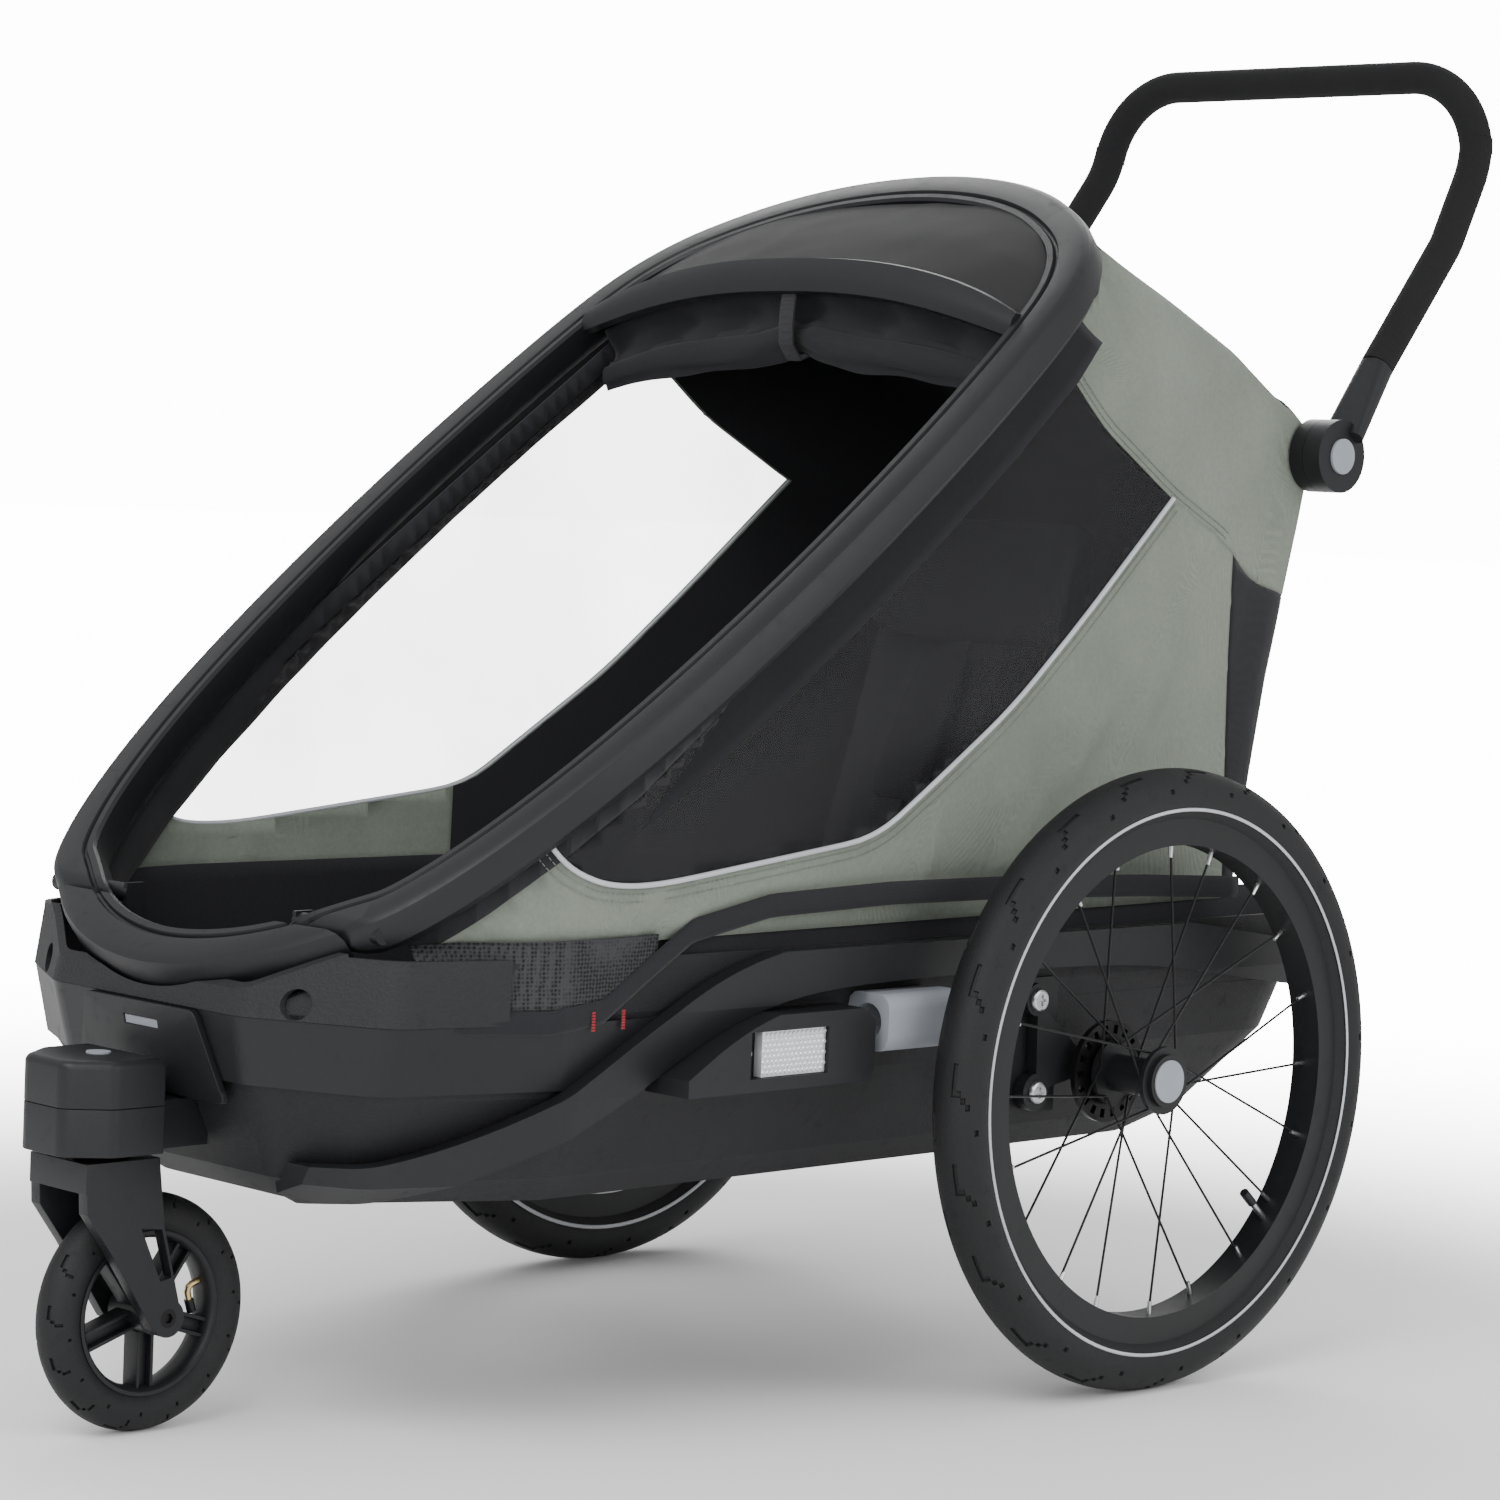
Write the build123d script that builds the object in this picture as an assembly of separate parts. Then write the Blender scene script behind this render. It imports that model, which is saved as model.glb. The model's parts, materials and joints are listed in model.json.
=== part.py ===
from build123d import *
from collections import namedtuple
from math import atan2, cos, degrees, pi, radians, sin, tan
import os

os.makedirs("parts", exist_ok=True)

# Child bicycle trailer in stroller trim. Millimetres, +X to the child's left, -Y forward, +Z up.
# It is drawn with the rear axle line at y = 0 and the ground at z = 0. The last lines move it so
# that the origin is the middle of its base.

# ---------------------------------------------------------------- driving dimensions
RUN = 0.05            # radial clearance of a shaft in its bore
GAP = 0.4             # clearance between neighbouring pieces
SEAT = 0.3            # gap under a piece that is seated on another

# road wheels, 20 inch
WHEEL_R = 248.0       # tyre outside radius
TYRE_R = 22.0         # tyre section radius
TRACK = 652.0         # middle of one tyre to middle of the other
RIM_DEPTH = 17.0
RIM_W = 27.0
SPOKES = 20
SPOKE_R = 1.0
NIPPLE_R = 2.2
HUB_R = 15.0
FLANGE_R = 27.0
FLANGE_T = 4.0
HUB_IN = 57.0         # inner hub end, from the tyre's middle plane
HUB_OUT = 13.0        # outer hub end
AXLE_R = 6.0
DISC_R = 41.0         # slotted parking-brake ring
DISC_T = 5.0
CAP_R = 17.0
CAP_TRAVEL = 3.0

# hull: level, then half width and y of the nose, cheek and side corners, and the rear y
Level = namedtuple("Level", "z nose_x nose_y cheek_x cheek_y side_x side_y rear_y")
HULL = [
    Level(176, 78, -672, 120, -640, 178, -520, 175),
    Level(196, 92, -700, 150, -665, 196, -530, 222),
    Level(262, 106, -732, 196, -690, 232, -556, 282),
    Level(322, 112, -745, 214, -692, 246, -566, 300),
    Level(362, 108, -736, 212, -686, 248, -572, 300),
]
HULL_WALL = 3.0
BUMPER_Z = (268.0, 318.0)
BUMPER_OUT = 7.0
FACE_TOP = 392.0
FACE_WALL = 5.0
FACE_BACK_Y = -610.0
FOLD_ROOM_Y, FOLD_ROOM_Z = 18.0, 1.5       # room in the nose for the rail as the hoop folds down
RECESS_R, RECESS_X, RECESS_Z = 11.0, 150.0, 330.0
LATCH_LOW_X, LATCH_HIGH_X = 88.0, 66.0
LATCH_Z = (250.0, 317.0)
LATCH_T = 6.0
SLOT = (20.0, 298.0, 305.0)

# side beams: points of the middle line, y and z, with its height
BEAM_LINE = [(-700, 192), (-640, 205), (-560, 243), (-490, 288), (-420, 326), (-350, 345), (-260, 352),
             (-60, 353), (80, 346), (190, 330), (330, 316)]
BEAM_H = 38.0
BEAM_OUT = 21.0
BEAM_SPLIT_Y = 200.0
BEAM_NOSE_X = 96.0

# hoop: an egg-shaped rail in a sloping plane, with its hinge at the front
HOOP_Y, HOOP_Z = -690.0, 382.0
HOOP_SLOPE = 37.8
HOOP_T = 30.0
HOOP_W = 40.0
HOOP_HALF = [(206, 4), (238, 60), (262, 130), (280, 210), (293, 310), (300, 420), (301, 530), (296, 640),
             (286, 740), (272, 800), (243, 850), (203, 885), (148, 918), (80, 940)]
HOOP_TOP = 949.0
HOOP_NOSE = -80.0
NOSE_HALF = [(70, -70), (130, -46), (174, -16)]
BRACKET_X = 104.0
BRACKET_LOW = 290.0
PIN_OUT_X = 196.0
VISOR_X = 243.0
VISOR_Y = -117.0
VISOR_RISE = 48.0
VISOR_T = 11.0
VISOR_D = 34.0
VISOR_PIN_R = 3.0
VISOR_PIN_X = 262.0
VISOR_SWEEP = 30.0    # room behind the bow for its tilt
HINGE_R = 7.0
KNUCKLE_GAP = 1.2

# rear frame and push handle
POST_X = 188.0
POST_R = 9.0
REAR_HINGE_Y, REAR_HINGE_Z = 250.0, 545.0
HUB_Y, HUB_Z = 298.0, 748.0
PIVOT_R = 31.0
PIVOT_X = (214.0, 246.0)
GRIP_R = 14.5
BAR_R = 10.5
HANDLE_Y, HANDLE_Z = 512.0, 1089.0
HANDLE_X = 211.0
HANDLE_CORNER = 78.0
BUTTON_R = 15.0
BUTTON_TRAVEL = 4.0

# stroller wheel
STEER_Y = -786.0
FRONT_R = 88.0
FRONT_TYRE_R = 16.0
FRONT_Y = -746.0
POD_Z = (212.0, 281.0)
POD_HALF = 47.0
FORK_IN = 24.0
LEG_T = 11.0
FRONT_AXLE_R = 4.0
FRONT_RIM_R = 61.0
FRONT_RIM_W = 24.0
STEER_R = 8.0
POD_FRONT, POD_BACK = -838.0, -764.0
POD_BUTTON_Y = -790.0
POD_BUTTON_R = 9.0
POD_TONGUE = 30.0
CROWN_Y = (-822.0, -758.0)

# suspension
ARM_PIVOT = (-70.0, 234.0)
ARM_X = (250.0, 261.0)
ARM_TOP = (-72.0, 308.0)
BOLT_R = 5.0

# reflectors and tow-arm sleeve
POD_Y = (-474.0, -282.0)
POD_X = 286.0
LENS_Y = (-398.0, -332.0)
LENS_Z = (272.0, 306.0)
TOW_Y = (-270.0, -190.0)
TOW_X, TOW_Z = 266.0, 304.0
TOW_W, TOW_H = 44.0, 44.0
TOW_R = 14.0

# cabin cover
CLOTH = 2.0
COVER = 3.0
FILM = 1.0
CABIN = [(374, 262, 222, 232), (560, 285, 216, 272), (735, 296, 212, 322), (990, 296, 212, 360)]
RIM_Z = 374.0
CABIN_FRONT = -700.0
CABIN_CORNER = 18.0
ROOF = [(62.0, 908.0), (300.0, 782.0)]
BAND_EDGE = [(-90, 836), (8, 761), (105, 707), (185, 672), (222, 640), (420, 610)]
WINDOW = [(-572, 432), (-535, 417), (-480, 415), (-247, 441), (-194, 474), (-94, 538), (-7, 609), (106, 700),
          (20, 748), (-110, 800), (-400, 590)]
REAR_SEAM_Y = 196.0

# seat
SEAT_HALF, SEAT_TOP = 165.0, 300.0
BOX_TOP = 252.0
SEAT_Y = (-330.0, 150.0)
BACK_HALF = 178.0
BACK_TOP = (210.0, 700.0)
FOOT_HALF, FOOT_Y = 110.0, -600.0
MAT_T = 4.7

# foot of the rear posts
POST_FOOT_Y, POST_FOOT_Z = 204.0, 300.0


# ---------------------------------------------------------------- helpers
def prism_x(points, x0, x1):
    """A flat outline of (y, z) points, standing from x0 to x1."""
    wire = Polyline(*[(x0, y, z) for y, z in points], close=True)
    return extrude(make_face(wire), amount=x1 - x0, dir=(1, 0, 0))


def post_up(radius, height):
    """A round post that stands on the origin."""
    return Cylinder(radius, height, align=(Align.CENTER, Align.CENTER, Align.MIN))


def rod_x(radius, x0, x1, y, z):
    return Pos(x0, y, z) * Rot(0, 90, 0) * post_up(radius, x1 - x0)


def block(x0, x1, y0, y1, z0, z1):
    return Pos((x0 + x1) / 2, (y0 + y1) / 2, (z0 + z1) / 2) * Box(x1 - x0, y1 - y0, z1 - z0)


def tube_between(a, b, radius):
    """A round bar from point a to point b."""
    line = Vector(*b) - Vector(*a)
    return extrude(Plane(origin=a, z_dir=line) * Circle(radius), amount=line.length)


def mirrored(shape):
    return mirror(shape, about=Plane.YZ)


def biggest(shape):
    return max(shape.solids(), key=lambda s: s.volume)


nodes = {}


def keep(name, shape):
    nodes[name] = shape


def keep_pair(name, shape):
    """The left piece and its mirror image on the right."""
    keep(name + "_left", shape)
    keep(name + "_right", mirrored(shape))


# ---------------------------------------------------------------- hoop plane
hoop_plane = Plane(origin=(0, HOOP_Y, HOOP_Z), x_dir=(1, 0, 0),
                   z_dir=(0, -sin(radians(HOOP_SLOPE)), cos(radians(HOOP_SLOPE))))


def slope(y):
    """Height of the hoop's middle plane at y."""
    return HOOP_Z + (y - HOOP_Y) * tan(radians(HOOP_SLOPE))


under_hoop = extrude(hoop_plane.offset(-HOOP_T / 2 - GAP) * Rectangle(1400, 3000), amount=-900)
under_plane = extrude(hoop_plane * Rectangle(1400, 3000), amount=-900)


# ---------------------------------------------------------------- hull
def deck(level, grow):
    """Plan outline of the hull at one level, pushed out by grow."""
    half = [
        (level.nose_x, level.nose_y - grow),
        (level.cheek_x + grow * 0.8, level.cheek_y - grow * 0.6),
        (level.side_x + grow, level.side_y),
        (level.side_x + grow, level.rear_y + grow),
    ]
    points = half + [(-x, y) for x, y in reversed(half)]
    face = make_face(Polyline(*points, close=True))
    corners = face.vertices().sort_by(Axis.Y)
    face = fillet(corners[-2:], 62)
    corners = face.vertices().filter_by(lambda v: v.Y < level.side_y + 1).sort_by(Axis.Y)
    return Pos(0, 0, level.z) * fillet(corners, 34)


def hull(grow, drop=0.0):
    """The lofted hull body, its skin moved out by grow and its floor down by drop."""
    levels = [HULL[0]._replace(z=HULL[0].z - drop)] + HULL[1:]
    return loft([deck(level, grow) for level in levels], ruled=True)


outer = hull(0)
inner = hull(-HULL_WALL, -HULL_WALL)
seat_box = block(-SEAT_HALF, SEAT_HALF, *SEAT_Y, HULL[0].z, BOX_TOP)
seat_box_room = block(HULL_WALL - SEAT_HALF, SEAT_HALF - HULL_WALL, SEAT_Y[0] + HULL_WALL, SEAT_Y[1] - HULL_WALL,
                      HULL[0].z - 1, BOX_TOP - HULL_WALL)
keep("tub", ((outer - inner) & under_hoop) + seat_box - seat_box_room)

low, high = BUMPER_Z
band = hull(BUMPER_OUT) - hull(GAP)
keep("bumper_band", biggest(band & block(-400, 400, -900, -470, low, high)))


# ---------------------------------------------------------------- side beams
def band_outline(line, height):
    """Closed (y, z) outline of a band of the given height along a line of points."""
    upper, lower = [], []
    for i, (y, z) in enumerate(line):
        a, b = line[max(i - 1, 0)], line[min(i + 1, len(line) - 1)]
        tilt = atan2(b[1] - a[1], b[0] - a[0])
        upper.append((y - sin(tilt) * height / 2, z + cos(tilt) * height / 2))
        lower.append((y + sin(tilt) * height / 2, z - cos(tilt) * height / 2))
    return upper, lower


upper, lower = band_outline(BEAM_LINE, BEAM_H)
edge_a = Spline(*[(-400, y, z) for y, z in upper])
edge_b = Spline(*[(-400, y, z) for y, z in lower])
ends = [Line(edge_a @ 0, edge_b @ 0), Line(edge_a @ 1, edge_b @ 1)]
swath = extrude(make_face([edge_a, edge_b] + ends), amount=800, dir=(1, 0, 0))
ring = (hull(BEAM_OUT) - hull(BUMPER_OUT + GAP)) & swath
side = ring & block(BEAM_NOSE_X, 400, -900, BEAM_SPLIT_Y, 0, 700)
keep_pair("side_beam", biggest(side))
keep("rear_beam", biggest(ring & block(-400, 400, BEAM_SPLIT_Y, 500, 0, 700)))

# ---------------------------------------------------------------- hoop and nose
half = [(0, HOOP_NOSE)] + NOSE_HALF + HOOP_HALF + [(0, HOOP_TOP)]


def egg_face(inset):
    """The hoop's outline in its own plane, moved in by inset."""
    moved = [(0, HOOP_NOSE + inset)]
    for before, (x, s), after in zip(half, half[1:], half[2:]):
        along = Vector(after[0] - before[0], after[1] - before[1]).normalized()
        moved.append((x - along.Y * inset, s + along.X * inset))
    moved.append((0, HOOP_TOP - inset))
    right = Spline(*moved, tangents=[(1, 0), (-1, 0)])
    return make_face([right, mirror(right, about=Plane.YZ)])


egg_ring = egg_face(0) - egg_face(HOOP_W)
above_pin = Pos(0, 700) * Rectangle(1400, 1400)
below_pin = Pos(0, -700) * Rectangle(1400, 1400)
near_pin = Rectangle(1400, HOOP_T)
knuckle = rod_x(HOOP_T / 2, -400, 400, HOOP_Y, HOOP_Z)
knuckle_seat = rod_x(HOOP_T / 2 + KNUCKLE_GAP, -400, 400, HOOP_Y, HOOP_Z)
pin_bore = rod_x(HINGE_R + RUN, -400, 400, HOOP_Y, HOOP_Z)
hoop = extrude(hoop_plane * (egg_ring & above_pin), amount=HOOP_T / 2, both=True)
hoop += extrude(hoop_plane * (egg_ring & near_pin), amount=HOOP_T / 2, both=True) & knuckle
front_cover = extrude(hoop_plane * (egg_ring & below_pin), amount=HOOP_T / 2, both=True) - knuckle_seat


def nose(grow):
    top = HULL[-1]
    rows = [HULL[3]._replace(z=BUMPER_Z[1] + GAP), top, top._replace(z=FACE_TOP + 20, nose_y=top.nose_y + 12)]
    return loft([deck(row, grow) for row in rows], ruled=True)


egg_room = extrude(hoop_plane * egg_face(-GAP), amount=HOOP_T / 2 + GAP, both=True)
face = nose(BUMPER_OUT) - nose(BUMPER_OUT - FACE_WALL) - hull(GAP)
face &= block(-400, 400, -900, FACE_BACK_Y, 0, 700) & under_plane
fold_room = block(-400, 400, HOOP_Y - FOLD_ROOM_Y, FACE_BACK_Y, HOOP_Z - HOOP_T / 2 - FOLD_ROOM_Z, 500)
face = face - egg_room - fold_room
for sign in (-1, 1):
    face -= Pos(sign * RECESS_X, -800, RECESS_Z) * Rot(-90, 0, 0) * post_up(RECESS_R, 160)
keep("front_face", biggest(face))
keep("front_cover", biggest(front_cover))

# the hoop turns on two pins that stand outwards from plates in the nose
plate_side = prism_x([(-760, BRACKET_LOW), (HOOP_Y + 16, BRACKET_LOW), (HOOP_Y + 10, HOOP_Z + 8),
                      (HOOP_Y - 6, HOOP_Z + 8), (HOOP_Y - 10, HULL[-1].z - 12), (-760, HULL[-1].z - 30)],
                     BRACKET_X - 4, BRACKET_X)
in_nose = hull(-HULL_WALL - SEAT) + block(0, 400, HOOP_Y - 6, HOOP_Y + 20, HULL[-1].z - 12, 500)
ring_room = extrude(hoop_plane * (egg_face(-GAP) - egg_face(HOOP_W + 3)), amount=HOOP_T / 2 + GAP, both=True)
bracket = (plate_side & in_nose) - ring_room
bracket += rod_x(HINGE_R, BRACKET_X - 4, PIN_OUT_X, HOOP_Y, HOOP_Z)
keep("hoop_brackets", Compound(children=[biggest(bracket), biggest(mirrored(bracket))]))

visor_y, visor_z = VISOR_Y, slope(VISOR_Y) + 4
visor_bores = rod_x(VISOR_PIN_R + RUN, -VISOR_PIN_X - 1, VISOR_PIN_X + 1, visor_y, visor_z)
hoop = hoop - pin_bore - visor_bores
keep("hoop", biggest(hoop))

# ---------------------------------------------------------------- sun visor bow
visor_ends = [(-VISOR_X, visor_z - 8), (0, visor_z + VISOR_RISE), (VISOR_X, visor_z - 8)]
arc_low = ThreePointArc(*visor_ends)
arc_high = ThreePointArc(*[(x * (1 - 0.001), z + VISOR_T) for x, z in visor_ends])
sides = [Line(arc_low @ 0, arc_high @ 0), Line(arc_low @ 1, arc_high @ 1)]
bow = extrude(Plane.XZ.offset(-visor_y) * make_face([arc_low, arc_high] + sides), amount=VISOR_D / 2, both=True)
for sign in (-1, 1):
    eye = rod_x(VISOR_D / 2 - 3, sign * VISOR_X - (4 if sign > 0 else 0), sign * VISOR_X + (4 if sign < 0 else 0),
                visor_y, visor_z)
    pin_ends = sorted((sign * (VISOR_X - 2), sign * VISOR_PIN_X))
    pin = rod_x(VISOR_PIN_R, *pin_ends, visor_y, visor_z)
    bow += eye + pin
keep("visor_bow", biggest(bow))

# ---------------------------------------------------------------- latch panel on the nose
trapezoid = Polygon((-LATCH_LOW_X, LATCH_Z[0]), (LATCH_LOW_X, LATCH_Z[0]), (LATCH_HIGH_X, LATCH_Z[1]),
                    (-LATCH_HIGH_X, LATCH_Z[1]), align=None)
panel_cut = extrude(Plane.XZ.offset(800) * fillet(trapezoid.vertices(), 8), amount=-120)
panel = (hull(BUMPER_OUT + LATCH_T) - hull(BUMPER_OUT + GAP)) & panel_cut
slot = block(-SLOT[0], SLOT[0], -800, -700, SLOT[1], SLOT[2])
keep("latch_panel", biggest(panel - slot))
slim = block(-SLOT[0] + GAP, SLOT[0] - GAP, -800, -700, SLOT[1] + GAP, SLOT[2] - GAP)
keep("latch_key", biggest((hull(BUMPER_OUT + LATCH_T - 1) - hull(BUMPER_OUT + GAP)) & slim))

# ---------------------------------------------------------------- stroller wheel pod
pod_plan = Plane.XY * make_face(Polyline((-POD_HALF, POD_BACK), (POD_HALF, POD_BACK), (POD_HALF, POD_FRONT + 30),
                                         (POD_HALF - 22, POD_FRONT), (22 - POD_HALF, POD_FRONT),
                                         (-POD_HALF, POD_FRONT + 30), close=True))
front_corners = pod_plan.vertices().filter_by(lambda v: v.Y < POD_BACK - 1)
pod_plan = fillet(front_corners, 16)
split_z = (POD_Z[0] + POD_Z[1]) / 2
pod_top = Pos(0, 0, split_z + SEAT) * extrude(pod_plan, amount=POD_Z[1] - split_z - SEAT)
pod_top = fillet(pod_top.faces().sort_by(Axis.Z)[-1].edges(), 6)
key_hole = Pos(0, POD_BUTTON_Y, POD_Z[1] - 7) * post_up(POD_BUTTON_R + GAP, 20)
keep("pod_cover", pod_top - key_hole)
keep("pod_button", Pos(0, POD_BUTTON_Y, POD_Z[1] - 4) * post_up(POD_BUTTON_R, 5))
pod_base = Pos(0, 0, POD_Z[0]) * extrude(pod_plan, amount=split_z - POD_Z[0])
stem_bore = Pos(0, STEER_Y, POD_Z[0] - 1) * post_up(STEER_R + RUN, 31)
tongue = block(-POD_TONGUE, POD_TONGUE, POD_BACK, HULL[2].nose_y + 20, POD_Z[0], LATCH_Z[0] - 2) - hull(SEAT)
keep("pod_base", biggest(pod_base + tongue - stem_bore))

# ---------------------------------------------------------------- fork and stroller wheel
crown_top = POD_Z[0] - 5
crown = block(-FORK_IN - LEG_T, FORK_IN + LEG_T, CROWN_Y[0], CROWN_Y[1], FRONT_R * 2 + 9, crown_top)
collar = Pos(0, STEER_Y, crown_top) * post_up(20, 5 - GAP)
stem = Pos(0, STEER_Y, crown_top - 5) * post_up(STEER_R, 32)
leg_side = make_face(Polyline((CROWN_Y[0], crown_top), (CROWN_Y[1], crown_top), (CROWN_Y[1] + 6, FRONT_R * 2 - 20),
                              (FRONT_Y + 13, FRONT_R - 4), (FRONT_Y - 13, FRONT_R - 8),
                              (CROWN_Y[0] + 24, FRONT_R * 2 - 36), (CROWN_Y[0] + 2, FRONT_R * 2 - 6), close=True))
leg_slot = make_face(Polyline((FRONT_Y - 26, FRONT_R + 68), (FRONT_Y - 8, FRONT_R + 66), (FRONT_Y + 2, FRONT_R + 30),
                              (FRONT_Y - 8, FRONT_R + 28), close=True))
leg_shape = leg_side - leg_slot
leg = extrude(Plane.YZ.offset(FORK_IN) * leg_shape, amount=LEG_T)
leg += rod_x(14, FORK_IN, FORK_IN + LEG_T, FRONT_Y, FRONT_R)
axle_bore = rod_x(FRONT_AXLE_R, -80, 80, FRONT_Y, FRONT_R)
fork = crown + collar + stem + leg + mirrored(leg) - axle_bore
keep("fork", biggest(fork))
axle_bolt = rod_x(FRONT_AXLE_R, -FORK_IN - LEG_T, FORK_IN + LEG_T, FRONT_Y, FRONT_R)
axle_bolt += rod_x(9, FORK_IN + LEG_T, FORK_IN + LEG_T + 4, FRONT_Y, FRONT_R)
axle_bolt += rod_x(9, -FORK_IN - LEG_T - 4, -FORK_IN - LEG_T, FRONT_Y, FRONT_R)
keep("fork_axle", axle_bolt)

front_centre = Pos(0, FRONT_Y, FRONT_R) * Rot(0, 90, 0)
keep("front_tyre", front_centre * Torus(FRONT_R - FRONT_TYRE_R, FRONT_TYRE_R)
     - front_centre * Cylinder(FRONT_RIM_R, 80))
well = front_centre * (Cylinder(FRONT_RIM_R - SEAT, FRONT_RIM_W) - Cylinder(FRONT_RIM_R - 6, 80))
hub = front_centre * Cylinder(15, 2 * FORK_IN - 4)
front_rim = well + hub
spoke = block(-9, 9, -6, 6, 8, FRONT_RIM_R - 4)
for i in range(5):
    front_rim += Pos(0, FRONT_Y, FRONT_R) * Rot(180 + 72 * i, 0, 0) * spoke
front_rim -= rod_x(FRONT_AXLE_R + RUN, -80, 80, FRONT_Y, FRONT_R)
keep("front_rim", biggest(front_rim))
valve_foot = Pos(0, FRONT_Y, FRONT_R) * Rot(-72, 0, 0)
keep("front_valve", valve_foot * Pos(0, 0, FRONT_RIM_R - 6.3 - 18) * post_up(3, 18))

# ---------------------------------------------------------------- road wheels
mid = TRACK / 2
rim_r = WHEEL_R - 2 * TYRE_R + 1
centre = Pos(mid, 0, WHEEL_R) * Rot(0, 90, 0)
tyre = centre * (Torus(WHEEL_R - TYRE_R, TYRE_R) - Cylinder(rim_r + 6 + SEAT, 80))
keep_pair("tyre", tyre)
rim = centre * (Cylinder(rim_r + 6, RIM_W) - Cylinder(rim_r - RIM_DEPTH, 80)
                - (Cylinder(rim_r + 7, RIM_W - 5) - Cylinder(rim_r, 80)))
keep_pair("rim", rim)
hub_in, hub_out = mid - HUB_IN, mid + HUB_OUT
hub_shell = rod_x(HUB_R, hub_in, hub_out, 0, WHEEL_R)
flange_in, flange_out = hub_in + 14, hub_out - 6
for x in (flange_in, flange_out):
    hub_shell += rod_x(FLANGE_R, x - FLANGE_T / 2, x + FLANGE_T / 2, 0, WHEEL_R)
cap_seat = rod_x(CAP_R + GAP, hub_out - CAP_TRAVEL - 4, hub_out + 5, 0, WHEEL_R)
hub_shell += rod_x(CAP_R + 4, hub_out - 12, hub_out, 0, WHEEL_R)
hub_shell = hub_shell - rod_x(AXLE_R + RUN, hub_in - 1, hub_out - 9, 0, WHEEL_R) - cap_seat
keep_pair("hub_shell", hub_shell)
keep_pair("hub_cap", rod_x(CAP_R, hub_out - 3.7, hub_out + 1, 0, WHEEL_R))
disc = rod_x(DISC_R, hub_in + 2, hub_in + 2 + DISC_T, 0, WHEEL_R) - rod_x(HUB_R + SEAT, 0, 400, 0, WHEEL_R)
for i in range(18):
    a = 2 * pi * i / 18
    disc -= Pos(hub_in, 34 * cos(a), WHEEL_R + 34 * sin(a)) * Rot(degrees(a) + 90, 0, 0) * Box(30, 5, 7)
keep_pair("brake_disc", disc)

spokes = []
for i in range(SPOKES):
    side = 1 if i % 2 else -1
    x = flange_out - 3.3 if side > 0 else flange_in + 3.3
    turn = 2 * pi * i / SPOKES
    lace = turn + (1 if (i // 2) % 2 else -1) * 0.9
    a = (x, (FLANGE_R - 4) * cos(lace), WHEEL_R + (FLANGE_R - 4) * sin(lace))
    b = (mid + side * 3, (rim_r - RIM_DEPTH - 0.3) * cos(turn), WHEEL_R + (rim_r - RIM_DEPTH - 0.3) * sin(turn))
    spokes.append(tube_between(a, b, SPOKE_R))
keep_pair("spokes", Compound(children=[s.solid() for s in spokes]))

# ---------------------------------------------------------------- suspension
def plate(points, radii, x0, x1):
    """A flat arm: the outline around a round boss at each point."""
    body = prism_x(points, x0, x1)
    for (y, z), r in zip(points, radii):
        body += rod_x(r, x0, x1, y, z)
    return body


arm = plate([ARM_PIVOT, ARM_TOP, (0, WHEEL_R)], [15, 13, 15], *ARM_X)
arm += rod_x(AXLE_R, ARM_X[1], hub_out - 10, 0, WHEEL_R)
arm -= rod_x(BOLT_R + RUN, 200, 300, *ARM_PIVOT)
arm_top_room = rod_x(BOLT_R + 3, 200, 300, *ARM_TOP)
keep_pair("swing_arm", arm - arm_top_room)
mount_plate = block(190, ARM_X[0] - GAP, ARM_PIVOT[0] - 32, ARM_PIVOT[0] + 34, ARM_PIVOT[1] - 18, ARM_TOP[1] + 16)
arm_bracket = biggest(mount_plate - hull(SEAT))
keep("arm_brackets", Compound(children=[arm_bracket, mirrored(arm_bracket)]))
pivot_bolt = rod_x(BOLT_R, ARM_X[0] - GAP, ARM_X[1] + GAP, *ARM_PIVOT) + rod_x(
    9, ARM_X[1] + GAP, ARM_X[1] + GAP + 4, *ARM_PIVOT)
stop_bolt = rod_x(BOLT_R, ARM_X[0] - GAP, ARM_X[1] + GAP, *ARM_TOP) + rod_x(
    9, ARM_X[1] + GAP, ARM_X[1] + GAP + 4, *ARM_TOP)
bolts = [pivot_bolt.solid(), stop_bolt.solid()]
keep("suspension_bolts", Compound(children=bolts + [mirrored(bolt) for bolt in bolts]))

# ---------------------------------------------------------------- reflector pods and tow receiver
wide_upper, wide_lower = band_outline(BEAM_LINE, BEAM_H + 2 * GAP)
edge_c = Spline(*[(-400, y, z) for y, z in wide_upper])
edge_d = Spline(*[(-400, y, z) for y, z in wide_lower])
swath_room = extrude(make_face([edge_c, edge_d, Line(edge_c @ 0, edge_d @ 0), Line(edge_c @ 1, edge_d @ 1)]),
                     amount=800, dir=(1, 0, 0))
pod_side = prism_x([(POD_Y[0], 262), (POD_Y[1] - 8, 262), (POD_Y[1], 270), (POD_Y[1], 308), (POD_Y[1] - 12, 318),
                    (POD_Y[0] + 60, 318), (POD_Y[0], 296)], 200, POD_X)
window = block(POD_X - 12, POD_X + 5, LENS_Y[0] - 14, LENS_Y[1] + GAP, LENS_Z[0] - GAP, LENS_Z[1] + GAP)
keep_pair("reflector_pod", biggest(pod_side - swath_room - hull(BUMPER_OUT + GAP) - window))
lens = block(POD_X - 11.7, POD_X - 3, *LENS_Y, *LENS_Z)
keep("reflectors", Compound(children=[lens.solid(), mirrored(lens).solid()]))
screw = rod_x(3.5, POD_X - 11.7, POD_X - 8, LENS_Y[0] - 7, (LENS_Z[0] + LENS_Z[1]) / 2)
keep("reflector_screws", Compound(children=[screw.solid(), mirrored(screw).solid()]))

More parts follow.
